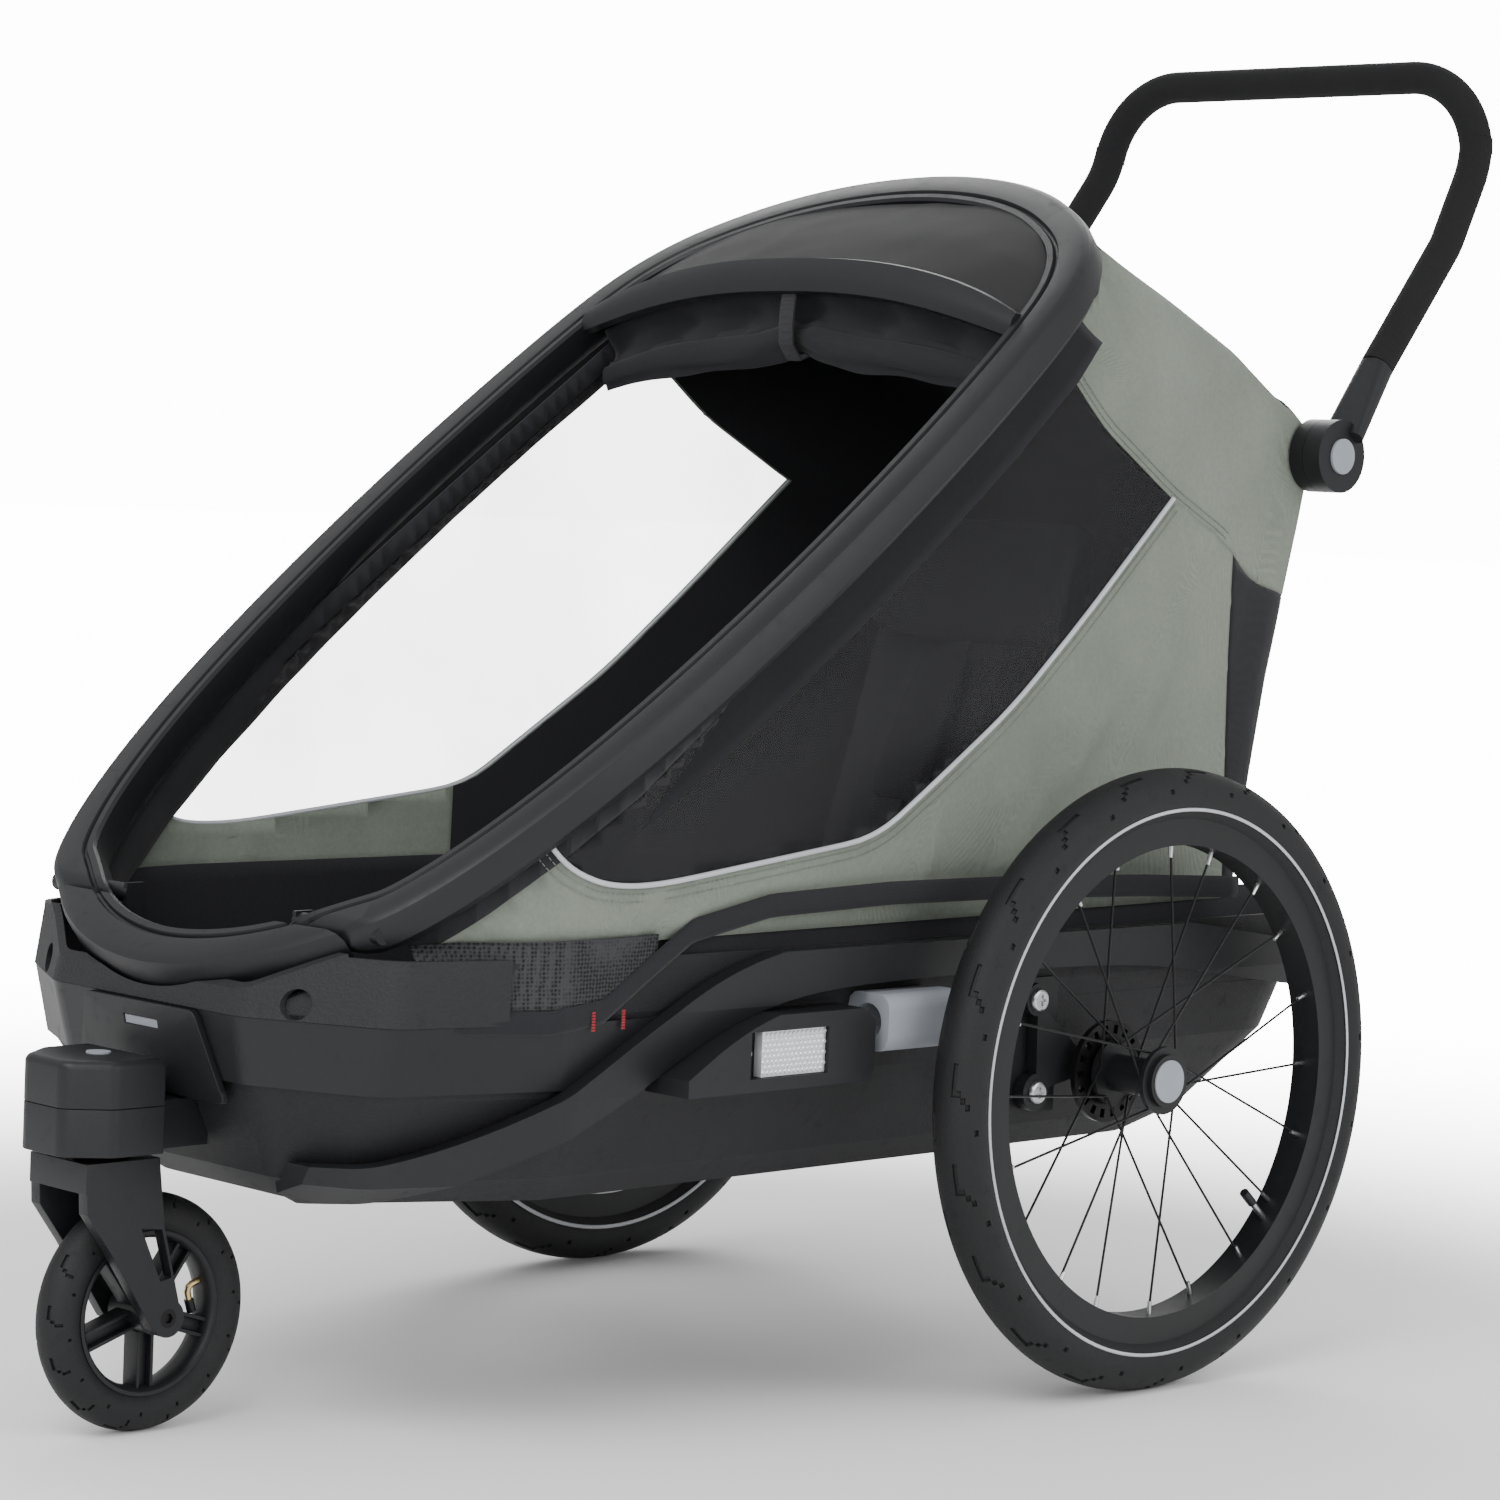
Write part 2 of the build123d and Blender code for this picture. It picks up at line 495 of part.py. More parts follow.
tow_y0, tow_y1 = TOW_Y
tow = Pos(TOW_X, (tow_y0 + tow_y1) / 2, TOW_Z) * Rot(90, 0, 0)
sleeve = tow * extrude(RectangleRounded(TOW_W, TOW_H, 12), amount=(tow_y1 - tow_y0) / 2, both=True)
sleeve -= tow * Cylinder(TOW_R, 300)
sleeve = sleeve - hull(SEAT) - swath_room
keep("tow_sleeve", biggest(sleeve))

# ---------------------------------------------------------------- rear posts and rear frame
post_line = Vector(0, REAR_HINGE_Y - POST_FOOT_Y, REAR_HINGE_Z - POST_FOOT_Z)
post_end = Vector(POST_X, REAR_HINGE_Y, REAR_HINGE_Z) - post_line.normalized() * 16
post = tube_between((POST_X, POST_FOOT_Y, POST_FOOT_Z), post_end, POST_R)
post += rod_x(13, POST_X - 5, POST_X + 5, REAR_HINGE_Y, REAR_HINGE_Z)
post += block(POST_X - 5, POST_X + 5, REAR_HINGE_Y - 8, REAR_HINGE_Y + 8, REAR_HINGE_Z - 24, REAR_HINGE_Z)
foot = block(POST_X - 14, POST_X + 14, POST_FOOT_Y - 6, 320, POST_FOOT_Z - 14, POST_FOOT_Z + 52)
post += foot & hull(-HULL_WALL - SEAT)
post -= rod_x(HINGE_R - 2 + RUN, 150, 260, REAR_HINGE_Y, REAR_HINGE_Z)
keep("rear_posts", Compound(children=[biggest(post), mirrored(biggest(post))]))

rise = Vector(0, HUB_Y - REAR_HINGE_Y, HUB_Z - REAR_HINGE_Z)
start = Vector(POST_X, REAR_HINGE_Y, REAR_HINGE_Z) + rise.normalized() * 20
upright = tube_between(start, (POST_X, HUB_Y, HUB_Z), POST_R)
cheeks = rod_x(13, POST_X - 12, POST_X + 12, REAR_HINGE_Y, REAR_HINGE_Z)
bridge = tube_between(start, (start + rise.normalized() * 14), 12)
cheek_bar = block(POST_X - 12, POST_X + 12, REAR_HINGE_Y - 9, REAR_HINGE_Y + 13, REAR_HINGE_Z, REAR_HINGE_Z + 26)
room = rod_x(14, POST_X - 5 - GAP, POST_X + 5 + GAP, REAR_HINGE_Y, REAR_HINGE_Z)
upright += cheeks + bridge + cheek_bar - room
upright -= room
upright += rod_x(HINGE_R - 2, POST_X - 12, POST_X + 12, REAR_HINGE_Y, REAR_HINGE_Z)
hub_mid = (PIVOT_X[0] + PIVOT_X[1]) / 2 - 2
upright += rod_x(PIVOT_R - 7, POST_X - POST_R, PIVOT_X[0], HUB_Y, HUB_Z)
upright += rod_x(PIVOT_R, PIVOT_X[0], hub_mid, HUB_Y, HUB_Z)
upright += rod_x(9, hub_mid, hub_mid + 9, HUB_Y, HUB_Z)
keep_pair("rear_upright", biggest(upright))

# ---------------------------------------------------------------- push handle
arm_end = (HANDLE_X + 19, HUB_Y + 62, HUB_Z + 78)
handle_points = [arm_end, (HANDLE_X + 14, 455, 936), (HANDLE_X + 4, 506, 1012), (HANDLE_X - 4, HANDLE_Y, HANDLE_Z)]
handle_points = [Vector(*p) for p in handle_points]
path = FilletPolyline(*handle_points, *[Vector(-p.X, p.Y, p.Z) for p in reversed(handle_points)],
                      radius=[90, 80, HANDLE_CORNER, HANDLE_CORNER, 80, 90])
section = Plane(origin=path @ 0, z_dir=path % 0)
keep("handle_bar", sweep(section * Circle(BAR_R), path=path))
keep("handle_grip", sweep(section * (Circle(GRIP_R) - Circle(BAR_R + SEAT)), path=path))
knob = rod_x(PIVOT_R, hub_mid + GAP, PIVOT_X[1], HUB_Y, HUB_Z)
reach = Vector(*arm_end) - Vector(hub_mid + 9, HUB_Y, HUB_Z)
lever = loft([Plane(origin=(hub_mid + 9, HUB_Y, HUB_Z) + reach * 0.2, z_dir=reach) * RectangleRounded(14, 40, 6),
              Plane(origin=(Vector(*arm_end) - reach.normalized() * 1), z_dir=path % 0) * RectangleRounded(26, 29, 12)])
knob = knob + (lever - rod_x(PIVOT_R + 2, 0, hub_mid + GAP, HUB_Y, HUB_Z))
knob = knob - rod_x(9 + RUN, 200, hub_mid + 9 + GAP, HUB_Y, HUB_Z)
knob -= rod_x(BUTTON_R + GAP, PIVOT_X[1] - 7, PIVOT_X[1] + 1, HUB_Y, HUB_Z)
keep_pair("handle_arm", biggest(knob))
keep_pair("handle_button", rod_x(BUTTON_R, PIVOT_X[1] - 2.5, PIVOT_X[1] + 2, HUB_Y, HUB_Z))

# ---------------------------------------------------------------- cabin cover
def cabin(grow):
    rows = []
    for z, half_front, half_rear, rear in CABIN:
        plan = make_face(Polyline((half_front + grow, CABIN_FRONT), (half_rear + grow, rear - 70),
                                   (half_rear + grow - 4, rear + grow), (-half_rear - grow + 4, rear + grow),
                                   (-half_rear - grow, rear - 70), (-half_front - grow, CABIN_FRONT), close=True))
        back = plan.vertices().sort_by(Axis.Y)[-2:]
        rows.append(Pos(0, 0, z) * fillet(back, CABIN_CORNER))
    return loft(rows, ruled=True)


roof_dir = Vector(0, ROOF[1][0] - ROOF[0][0], ROOF[1][1] - ROOF[0][1])
roof_plane = Plane(origin=(0, *ROOF[0]), x_dir=(1, 0, 0), z_dir=(0, -roof_dir.Z, roof_dir.Y))
below_roof = extrude(roof_plane * Rectangle(1400, 2400), amount=-1200)
below_skin = extrude(roof_plane.offset(-COVER) * Rectangle(1400, 2400), amount=-1200)
cover = (cabin(0) & below_roof) - (cabin(-COVER) & below_skin)
cover = cover & under_hoop & block(-400, 400, -900, 500, RIM_Z, 1100)
band_region = prism_x(BAND_EDGE + [(420, 1150), (-400, 1150)], -400, 400)
pivot_hole = rod_x(PIVOT_R - 7 + 3, -PIVOT_X[0], PIVOT_X[0], HUB_Y, HUB_Z)
keep("canopy", biggest((cover & band_region) - pivot_hole))
lower_cover = cover - prism_x([(y, z - GAP) for y, z in BAND_EDGE] + [(420, 1150), (-400, 1150)], -400, 400)
window_hole = prism_x(WINDOW, 100, 400)
window_film = prism_x([(y * 0.9965 - 1.0, z * 0.996 + 2.0) for y, z in WINDOW], 100, 400)
side_cloth = lower_cover & block(60, 400, -900, REAR_SEAM_Y, 0, 1100)
keep_pair("side_panel", biggest(side_cloth - window_hole))
keep_pair("side_window", biggest(side_cloth & window_film & (cabin(-1) - cabin(-1 - FILM))))
rear_cloth = lower_cover & block(-400, 400, REAR_SEAM_Y + GAP, 500, 0, 1100)
keep("rear_mesh", biggest(rear_cloth))
shade = extrude((hoop_plane.offset(2)) * egg_face(HOOP_W), amount=CLOTH)
shade &= block(-400, 400, VISOR_Y + VISOR_D / 2 + VISOR_SWEEP, 200, 0, 1200)
keep("sun_shade", biggest(shade))

# ---------------------------------------------------------------- seat and footwell
keep("seat_base", block(-SEAT_HALF, SEAT_HALF, SEAT_Y[0], SEAT_Y[1], BOX_TOP + SEAT, SEAT_TOP))
back_side = [(SEAT_Y[1] - 92, SEAT_TOP + SEAT), (SEAT_Y[1] - 44, SEAT_TOP + SEAT), (BACK_TOP[0] + 24, BACK_TOP[1]),
             (BACK_TOP[0] - 20, BACK_TOP[1])]
keep("seat_back", prism_x(back_side, -BACK_HALF, BACK_HALF))
mat_low = HULL[0].z + HULL_WALL + SEAT
keep("foot_mat", block(-FOOT_HALF, FOOT_HALF, FOOT_Y, SEAT_Y[0] - 6, mat_low, mat_low + MAT_T))

# ---------------------------------------------------------------- common origin and export
everything = Compound(children=[Compound(children=list(shape.solids())) for shape in nodes.values()])
box = everything.bounding_box()
shift = -(box.min.Y + box.max.Y) / 2
print("shift", round(shift, 4), "size", box.size, "floor", round(box.min.Z, 4))
for name, shape in nodes.items():
    export_step(Pos(0, shift, 0) * shape, f"parts/{name}.step")
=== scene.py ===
import json
from math import atan2, cos, exp, pi, radians, sin, sqrt, tan

import bmesh
import bpy
from mathutils import Matrix, Vector, noise


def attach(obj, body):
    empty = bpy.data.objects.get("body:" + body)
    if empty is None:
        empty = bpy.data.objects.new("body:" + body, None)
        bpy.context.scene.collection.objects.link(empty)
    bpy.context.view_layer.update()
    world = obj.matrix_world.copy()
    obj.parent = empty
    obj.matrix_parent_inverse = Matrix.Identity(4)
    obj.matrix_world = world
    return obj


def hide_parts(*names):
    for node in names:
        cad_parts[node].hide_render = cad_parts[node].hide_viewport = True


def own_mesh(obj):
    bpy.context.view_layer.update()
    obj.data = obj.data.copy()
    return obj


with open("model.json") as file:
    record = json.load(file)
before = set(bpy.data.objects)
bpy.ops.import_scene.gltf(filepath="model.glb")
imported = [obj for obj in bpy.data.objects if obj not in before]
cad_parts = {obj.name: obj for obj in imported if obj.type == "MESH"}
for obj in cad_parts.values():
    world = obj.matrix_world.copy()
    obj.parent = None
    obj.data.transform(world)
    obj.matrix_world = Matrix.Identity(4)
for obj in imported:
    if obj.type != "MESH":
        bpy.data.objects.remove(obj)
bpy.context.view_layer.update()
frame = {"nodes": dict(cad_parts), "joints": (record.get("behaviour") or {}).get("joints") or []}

# ---------------------------------------------------------------- studio
# A pale floor, three soft lights and the camera, low and to the left of the nose.
nodes = frame["nodes"]
joints = {joint["name"]: joint for joint in frame["joints"]}
AXLE_Y = joints["wheel_spin_left"]["pos_m"][1]


def look_from(name, place, azimuth, elevation, roll, lens):
    a, e, r = (radians(v) for v in (azimuth, elevation, roll))
    back = Vector((sin(a) * cos(e), -cos(a) * cos(e), sin(e)))
    right = Vector((cos(a), sin(a), 0))
    up = back.cross(right)
    camera = bpy.data.objects.new(name, bpy.data.cameras.new(name))
    camera.data.lens = lens
    camera.data.sensor_width = 36
    turned = (right * cos(r) + up * sin(r), up * cos(r) - right * sin(r), back)
    camera.matrix_world = Matrix.Translation(place) @ Matrix(turned).transposed().to_4x4()
    bpy.context.scene.collection.objects.link(camera)
    return camera


bpy.context.scene.camera = look_from("camera", (2.5435, AXLE_Y - 2.627, 0.7299), 45.73, 3.90, 2.34, 104.2)


def soft_light(name, place, target, size, power):
    light = bpy.data.objects.new(name, bpy.data.lights.new(name, "AREA"))
    light.data.shape = "RECTANGLE"
    light.data.size, light.data.size_y = size
    light.data.energy = power
    light.location = place
    light.rotation_euler = (Vector(target) - Vector(place)).to_track_quat("-Z", "Y").to_euler()
    bpy.context.scene.collection.objects.link(light)


soft_light("key_light", (0.6, -2.6, 2.9), (0, 0, 0.5), (2.6, 1.6), 85)
soft_light("side_light", (3.2, 0.7, 1.6), (0, 0.1, 0.5), (2.0, 2.0), 38)
soft_light("back_light", (-2.0, 2.4, 2.4), (0, 0, 0.7), (2.4, 1.6), 70)
soft_light("front_light", (2.3, -3.1, 1.3), (0, -0.1, 0.5), (1.6, 1.2), 32)
world = bpy.data.worlds.new("studio")
bpy.context.scene.world = world
world.use_nodes = True
BACKDROP = 14.0
sky = world.node_tree.nodes["Background"]
sky.inputs["Color"].default_value = (1.0, 1.0, 1.0, 1)
seen = world.node_tree.nodes.new("ShaderNodeLightPath").outputs["Is Camera Ray"]
glow = world.node_tree.nodes.new("ShaderNodeMapRange")
glow.inputs["To Min"].default_value = 0.8
glow.inputs["To Max"].default_value = BACKDROP
world.node_tree.links.new(seen, glow.inputs["Value"])
world.node_tree.links.new(glow.outputs["Result"], sky.inputs["Strength"])

floor_mesh = bmesh.new()
bmesh.ops.create_grid(floor_mesh, x_segments=4, y_segments=4, size=30)
floor_data = bpy.data.meshes.new("floor")
floor_mesh.to_mesh(floor_data)
floor_mesh.free()
floor = bpy.data.objects.new("floor", floor_data)
bpy.context.scene.collection.objects.link(floor)
paint = bpy.data.materials.new("pale floor")
paint.use_nodes = True
ground = paint.node_tree
ground_shader = ground.nodes["Principled BSDF"]
ground_shader.inputs["Base Color"].default_value = (0.95, 0.95, 0.95, 1)
ground_shader.inputs["Roughness"].default_value = 0.9
far = ground.nodes.new("ShaderNodeVectorMath")
far.operation = "LENGTH"
ground.links.new(ground.nodes.new("ShaderNodeTexCoord").outputs["Object"], far.inputs[0])
fade = ground.nodes.new("ShaderNodeMapRange")
fade.interpolation_type = "SMOOTHSTEP"
fade.inputs["From Min"].default_value = 0.7
fade.inputs["From Max"].default_value = 2.6
fade.inputs["To Max"].default_value = BACKDROP
ground.links.new(far.outputs["Value"], fade.inputs["Value"])
on_camera = ground.nodes.new("ShaderNodeMath")
on_camera.operation = "MULTIPLY"
ground.links.new(fade.outputs["Result"], on_camera.inputs[0])
ground.links.new(ground.nodes.new("ShaderNodeLightPath").outputs["Is Camera Ray"], on_camera.inputs[1])
ground_shader.inputs["Emission Color"].default_value = (1, 1, 1, 1)
ground.links.new(on_camera.outputs["Value"], ground_shader.inputs["Emission Strength"])
floor_data.materials.append(paint)


# ---------------------------------------------------------------- shared finishes
# Moulded grain, cloth weave and scuffs are wanted by many pieces, so each is one node group that
# puts out a height and a mask. The shaders stay in each material.
def effect(name, numbers, outputs):
    group = bpy.data.node_groups.new(name, "ShaderNodeTree")
    group.interface.new_socket("Vector", in_out="INPUT", socket_type="NodeSocketVector")
    for label, value in numbers.items():
        socket = group.interface.new_socket(label, in_out="INPUT", socket_type="NodeSocketFloat")
        socket.default_value = value
    for label in outputs:
        group.interface.new_socket(label, in_out="OUTPUT", socket_type="NodeSocketFloat")
    return group, group.nodes.new("NodeGroupInput"), group.nodes.new("NodeGroupOutput")


def sum_of(tree, kind, a, b):
    node = tree.nodes.new("ShaderNodeMath")
    node.operation = kind
    for socket, value in zip(node.inputs, (a, b)):
        if isinstance(value, (int, float)):
            socket.default_value = value
        else:
            tree.links.new(value, socket)
    return node.outputs[0]


def noise_of(tree, vector, scale, detail, roughness=0.5):
    node = tree.nodes.new("ShaderNodeTexNoise")
    tree.links.new(vector, node.inputs["Vector"])
    if isinstance(scale, (int, float)):
        node.inputs["Scale"].default_value = scale
    else:
        tree.links.new(scale, node.inputs["Scale"])
    node.inputs["Detail"].default_value = detail
    node.inputs["Roughness"].default_value = roughness
    return node.outputs["Fac"]


grain, g_in, g_out = effect("moulded grain", {"Scale": 900.0}, ("Height", "Mottle", "Scuff"))
fine = noise_of(grain, g_in.outputs["Vector"], g_in.outputs["Scale"], 3, 0.6)
grain.links.new(fine, g_out.inputs["Height"])
grain.links.new(noise_of(grain, g_in.outputs["Vector"], 9.0, 4), g_out.inputs["Mottle"])
scratch = noise_of(grain, g_in.outputs["Vector"], 60.0, 6, 0.75)
worn = sum_of(grain, "SUBTRACT", scratch, 0.56)
grain.links.new(sum_of(grain, "MULTIPLY", worn, 6.0), g_out.inputs["Scuff"])

weave, w_in, w_out = effect("cloth weave", {"Threads": 1400.0}, ("Height", "Mottle", "Crease"))
waves = []
for axis in ("X", "Z", "Y"):
    wave = weave.nodes.new("ShaderNodeTexWave")
    wave.bands_direction = axis
    wave.inputs["Distortion"].default_value = 0.6
    wave.inputs["Detail"].default_value = 1.0
    weave.links.new(w_in.outputs["Vector"], wave.inputs["Vector"])
    weave.links.new(w_in.outputs["Threads"], wave.inputs["Scale"])
    waves.append(wave.outputs["Fac"])
crossed = sum_of(weave, "MAXIMUM", sum_of(weave, "MAXIMUM", waves[0], waves[1]), waves[2])
weave.links.new(crossed, w_out.inputs["Height"])
weave.links.new(noise_of(weave, w_in.outputs["Vector"], 260.0, 5, 0.7), w_out.inputs["Mottle"])
# This slow noise is painted shade: soft shade of creases and folds put into the cloth colour.
weave.links.new(noise_of(weave, w_in.outputs["Vector"], 14.0, 3), w_out.inputs["Crease"])


def begin(name, roughness, metallic=0.0, specular=0.5):
    material = bpy.data.materials.new(name)
    material.use_nodes = True
    tree = material.node_tree
    shader = tree.nodes["Principled BSDF"]
    shader.inputs["Roughness"].default_value = roughness
    shader.inputs["Metallic"].default_value = metallic
    shader.inputs["Specular IOR Level"].default_value = specular
    place = tree.nodes.new("ShaderNodeTexCoord").outputs["Object"]
    return material, tree, shader, place


def use(tree, group, place, **numbers):
    node = tree.nodes.new("ShaderNodeGroup")
    node.node_tree = group
    tree.links.new(place, node.inputs["Vector"])
    for label, value in numbers.items():
        node.inputs[label].default_value = value
    return node


def shades(tree, mask, stops, target):
    """A colour ramp from a mask to a socket."""
    ramp = tree.nodes.new("ShaderNodeValToRGB")
    ramp.color_ramp.elements[0].position, ramp.color_ramp.elements[1].position = stops[0][0], stops[-1][0]
    ramp.color_ramp.elements[0].color, ramp.color_ramp.elements[1].color = stops[0][1], stops[-1][1]
    for position, colour in stops[1:-1]:
        ramp.color_ramp.elements.new(position).color = colour
    tree.links.new(mask, ramp.inputs["Fac"])
    tree.links.new(ramp.outputs["Color"], target)
    return ramp


def raised(tree, shader, height, depth, strength=1.0):
    bump = tree.nodes.new("ShaderNodeBump")
    bump.inputs["Distance"].default_value = depth
    bump.inputs["Strength"].default_value = strength
    tree.links.new(height, bump.inputs["Height"])
    tree.links.new(bump.outputs["Normal"], shader.inputs["Normal"])


def tint(colour, factor):
    return (*(min(1, c * factor) for c in colour[:3]), 1)


def grey(value):
    return (value, value, value, 1)


def moulded(name, colour, roughness, scale=900.0, depth=0.0004, metallic=0.0, spread=0.12):
    """Plastic or coated metal: a fine grain, slow colour changes and a few scuffs."""
    material, tree, shader, place = begin(name, roughness, metallic, 0.32)
    made = use(tree, grain, place, Scale=scale)
    shades(tree, made.outputs["Mottle"], [(0.3, tint(colour, 1 - spread)), (0.7, tint(colour, 1 + spread))],
           shader.inputs["Base Color"])
    shades(tree, made.outputs["Scuff"], [(0.0, grey(roughness)), (1.0, grey(min(1, roughness + 0.16)))],
           shader.inputs["Roughness"])
    raised(tree, shader, made.outputs["Height"], depth)
    return material


def woven(name, colour, threads=1400.0, depth=0.0002, roughness=0.88, spread=0.16, sheen=0.08):
    """Cloth: crossed threads, fine speckle and slow blotches of painted crease shade."""
    material, tree, shader, place = begin(name, roughness, 0.0, 0.3)
    shader.inputs["Sheen Weight"].default_value = sheen
    shader.inputs["Sheen Roughness"].default_value = 0.5
    made = use(tree, weave, place, Threads=threads)
    # The base colour mixes random fine speckle with painted crease shade.
    mottle_and_painted_shade = sum_of(tree, "ADD", sum_of(tree, "MULTIPLY", made.outputs["Mottle"], 0.6),
                   sum_of(tree, "MULTIPLY", made.outputs["Crease"], 0.4))
    shades(tree, mottle_and_painted_shade, [(0.3, tint(colour, 1 - spread)), (0.7, tint(colour, 1 + spread))],
           shader.inputs["Base Color"])
    raised(tree, shader, made.outputs["Height"], depth, 0.6)
    return material


hull_plastic = moulded("hull plastic", (0.0125, 0.0128, 0.0145), 0.58, 700.0, 0.0007)
satin_plastic = moulded("satin plastic", (0.0095, 0.0100, 0.0115), 0.42, 1500.0, 0.00012)
face_plastic = moulded("textured face plastic", (0.0145, 0.0150, 0.0170), 0.62, 420.0, 0.0012)
grey_plastic = moulded("grey plastic", (0.28, 0.30, 0.33), 0.45, 1200.0, 0.0002)
coated_metal = moulded("coated metal", (0.0080, 0.0084, 0.0095), 0.42, 1600.0, 0.0001)
black_metal = moulded("black metal", (0.008, 0.008, 0.009), 0.3, 1800.0, 0.00008, 0.4)
zinc = moulded("zinc steel", (0.60, 0.61, 0.62), 0.3, 1500.0, 0.0001, 1.0)
brass = moulded("brass", (0.62, 0.47, 0.22), 0.3, 1500.0, 0.0001, 1.0)
foam = moulded("grip foam", (0.0085, 0.0085, 0.0095), 0.92, 1100.0, 0.0012)
rubber = moulded("tyre rubber", (0.0085, 0.0088, 0.0098), 0.6, 800.0, 0.0004)
green_cloth = woven("green cloth", (0.190, 0.215, 0.180))
dark_cloth = woven("dark cloth", (0.0120, 0.0122, 0.0150), 1400.0, 0.00005)
soft_cloth = woven("seat cloth", (0.024, 0.0240, 0.028), 900.0, 0.0004)
shade_cloth = woven("shade cloth", (0.0125, 0.0125, 0.0135), 1200.0)
webbing = woven("webbing", (0.022, 0.022, 0.026), 700.0, 0.0006)
thread = woven("thread", (0.17, 0.19, 0.165), 2500.0)
red_thread = woven("red thread", (0.35, 0.02, 0.03), 2500.0)
piping_cloth = moulded("reflective piping", (0.50, 0.52, 0.54), 0.35, 2500.0, 0.0002)


def whole(bm):
    return bm.verts[:] + bm.edges[:] + bm.faces[:]


# ---------------------------------------------------------------- pieces
# Each new piece is a bmesh that is turned into an object here. Its faces are smooth up to a sharp
# angle, and it rides on one body.
def piece(name, bm, material, body, slot, replaces=(), sharp=35, solid=0.0):
    data = bpy.data.meshes.new(name)
    bm.to_mesh(data)
    bm.free()
    return dress(name, data, material, body, replaces, sharp, solid)


def dress(name, data, material, body, replaces=(), sharp=35, solid=0.0):
    data.shade_smooth()
    data.set_sharp_from_angle(angle=radians(sharp))
    made = bpy.data.objects.new(name, data)
    bpy.context.scene.collection.objects.link(made)
    data.materials.append(material)
    if solid:
        wall = made.modifiers.new("wall", "SOLIDIFY")
        wall.thickness = abs(solid)
        wall.offset = -1 if solid > 0 else 1
    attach(made, body)
    if replaces:
        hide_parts(*replaces)
    return made


def finish_of(material, *names):
    """Gives CAD nodes their material."""
    for name in names:
        slots = nodes[name].data.materials
        slots.clear()
        slots.append(material)


def both(name):
    return name + "_left", name + "_right"


finish_of(hull_plastic, "tub")
finish_of(face_plastic, "front_face")
finish_of(satin_plastic, "bumper_band", "rear_beam", "latch_panel", "pod_cover", "pod_base", "fork", "front_rim",
          "visor_bow", *both("side_beam"), *both("reflector_pod"), *both("handle_arm"))
finish_of(grey_plastic, "latch_key", "pod_button", "tow_sleeve", *both("handle_button"), *both("hub_cap"))
finish_of(coated_metal, "hoop_brackets", "arm_brackets", "rear_posts", "handle_bar", *both("rear_upright"),
          *both("swing_arm"), *both("hub_shell"), *both("rim"))
finish_of(black_metal, *both("spokes"), *both("brake_disc"))
finish_of(zinc, "reflector_screws", "suspension_bolts", "fork_axle")
finish_of(brass, "front_valve")
finish_of(rubber, "front_tyre", *both("tyre"))
finish_of(foam, "handle_grip")
finish_of(grey_plastic, "reflectors")
finish_of(soft_cloth, "foot_mat", "seat_base", "seat_back")

# ---------------------------------------------------------------- hoop and front cover
# One moulded rail in an egg shape, broad on its face with a groove and a lip along the inside. It is
# split at the nose: the part ahead of the pins is the fixed front cover, the rest is the hoop.
HOOP_PIN = Vector(joints["hoop_fold"]["pos_m"])
HOOP_SLOPE = radians(37.8)
HOOP_T = 0.030
hoop_matrix = Matrix.Translation(HOOP_PIN) @ Matrix.Rotation(HOOP_SLOPE, 4, "X")
to_hoop = hoop_matrix.inverted()
HALF_EGG = [(0, -0.080), (0.070, -0.070), (0.130, -0.046), (0.174, -0.016), (0.206, 0.004), (0.238, 0.060),
            (0.262, 0.130), (0.280, 0.210), (0.293, 0.310), (0.300, 0.420), (0.301, 0.530), (0.296, 0.640),
            (0.286, 0.740), (0.272, 0.800), (0.243, 0.850), (0.203, 0.885), (0.148, 0.918), (0.080, 0.940), (0, 0.949)]
RAIL = [(0.000, -0.009), (0.0005, 0.006), (0.003, 0.012), (0.008, 0.015), (0.028, 0.0145), (0.0295, 0.0115),
        (0.0315, 0.0115), (0.033, 0.0145), (0.038, 0.0145), (0.040, 0.012), (0.040, -0.008), (0.036, -0.0145),
        (0.005, -0.015)]


def swept(name, path, section, closed):
    """A section of (inward, up) points drawn along a flat path."""
    rail = bpy.data.curves.new(name, "CURVE")
    rail.dimensions = "3D"
    rail.twist_mode = "Z_UP"
    line = rail.splines.new("NURBS")
    line.points.add(len(path) - 1)
    for point, at in zip(line.points, path):
        point.co = (at[0], at[1], at[2] if len(at) > 2 else 0, 1)
    line.order_u = 3
    line.use_cyclic_u = closed
    line.use_endpoint_u = not closed
    line.resolution_u = 8
    cut = bpy.data.curves.new(name + " section", "CURVE")
    outline = cut.splines.new("POLY")
    outline.points.add(len(section) - 1)
    for point, (inward, up) in zip(outline.points, section):
        point.co = (-inward, up, 0, 1)
    outline.use_cyclic_u = True
    cut_object = bpy.data.objects.new(name + " section", cut)
    rail.bevel_mode = "OBJECT"
    rail.bevel_object = cut_object
    rail.use_fill_caps = not closed
    rail_object = bpy.data.objects.new(name, rail)
    bpy.context.scene.collection.objects.link(rail_object)
    bpy.context.scene.collection.objects.link(cut_object)
    bpy.context.view_layer.update()
    made = bpy.data.meshes.new_from_object(rail_object.evaluated_get(bpy.context.evaluated_depsgraph_get()))
    bm = bmesh.new()
    bm.from_mesh(made)
    bmesh.ops.remove_doubles(bm, verts=bm.verts, dist=0.00001)
    bmesh.ops.recalc_face_normals(bm, faces=bm.faces)
    for thing in (rail_object, cut_object):
        bpy.data.objects.remove(thing)
    bpy.data.meshes.remove(made)
    return bm


def egg_half(s):
    """Half width of the hoop at distance s up its plane."""
    for (x0, s0), (x1, s1) in zip(HALF_EGG, HALF_EGG[1:]):
        if s0 <= s <= s1:
            return x0 + (x1 - x0) * (s - s0) / (s1 - s0)
    return 0.0


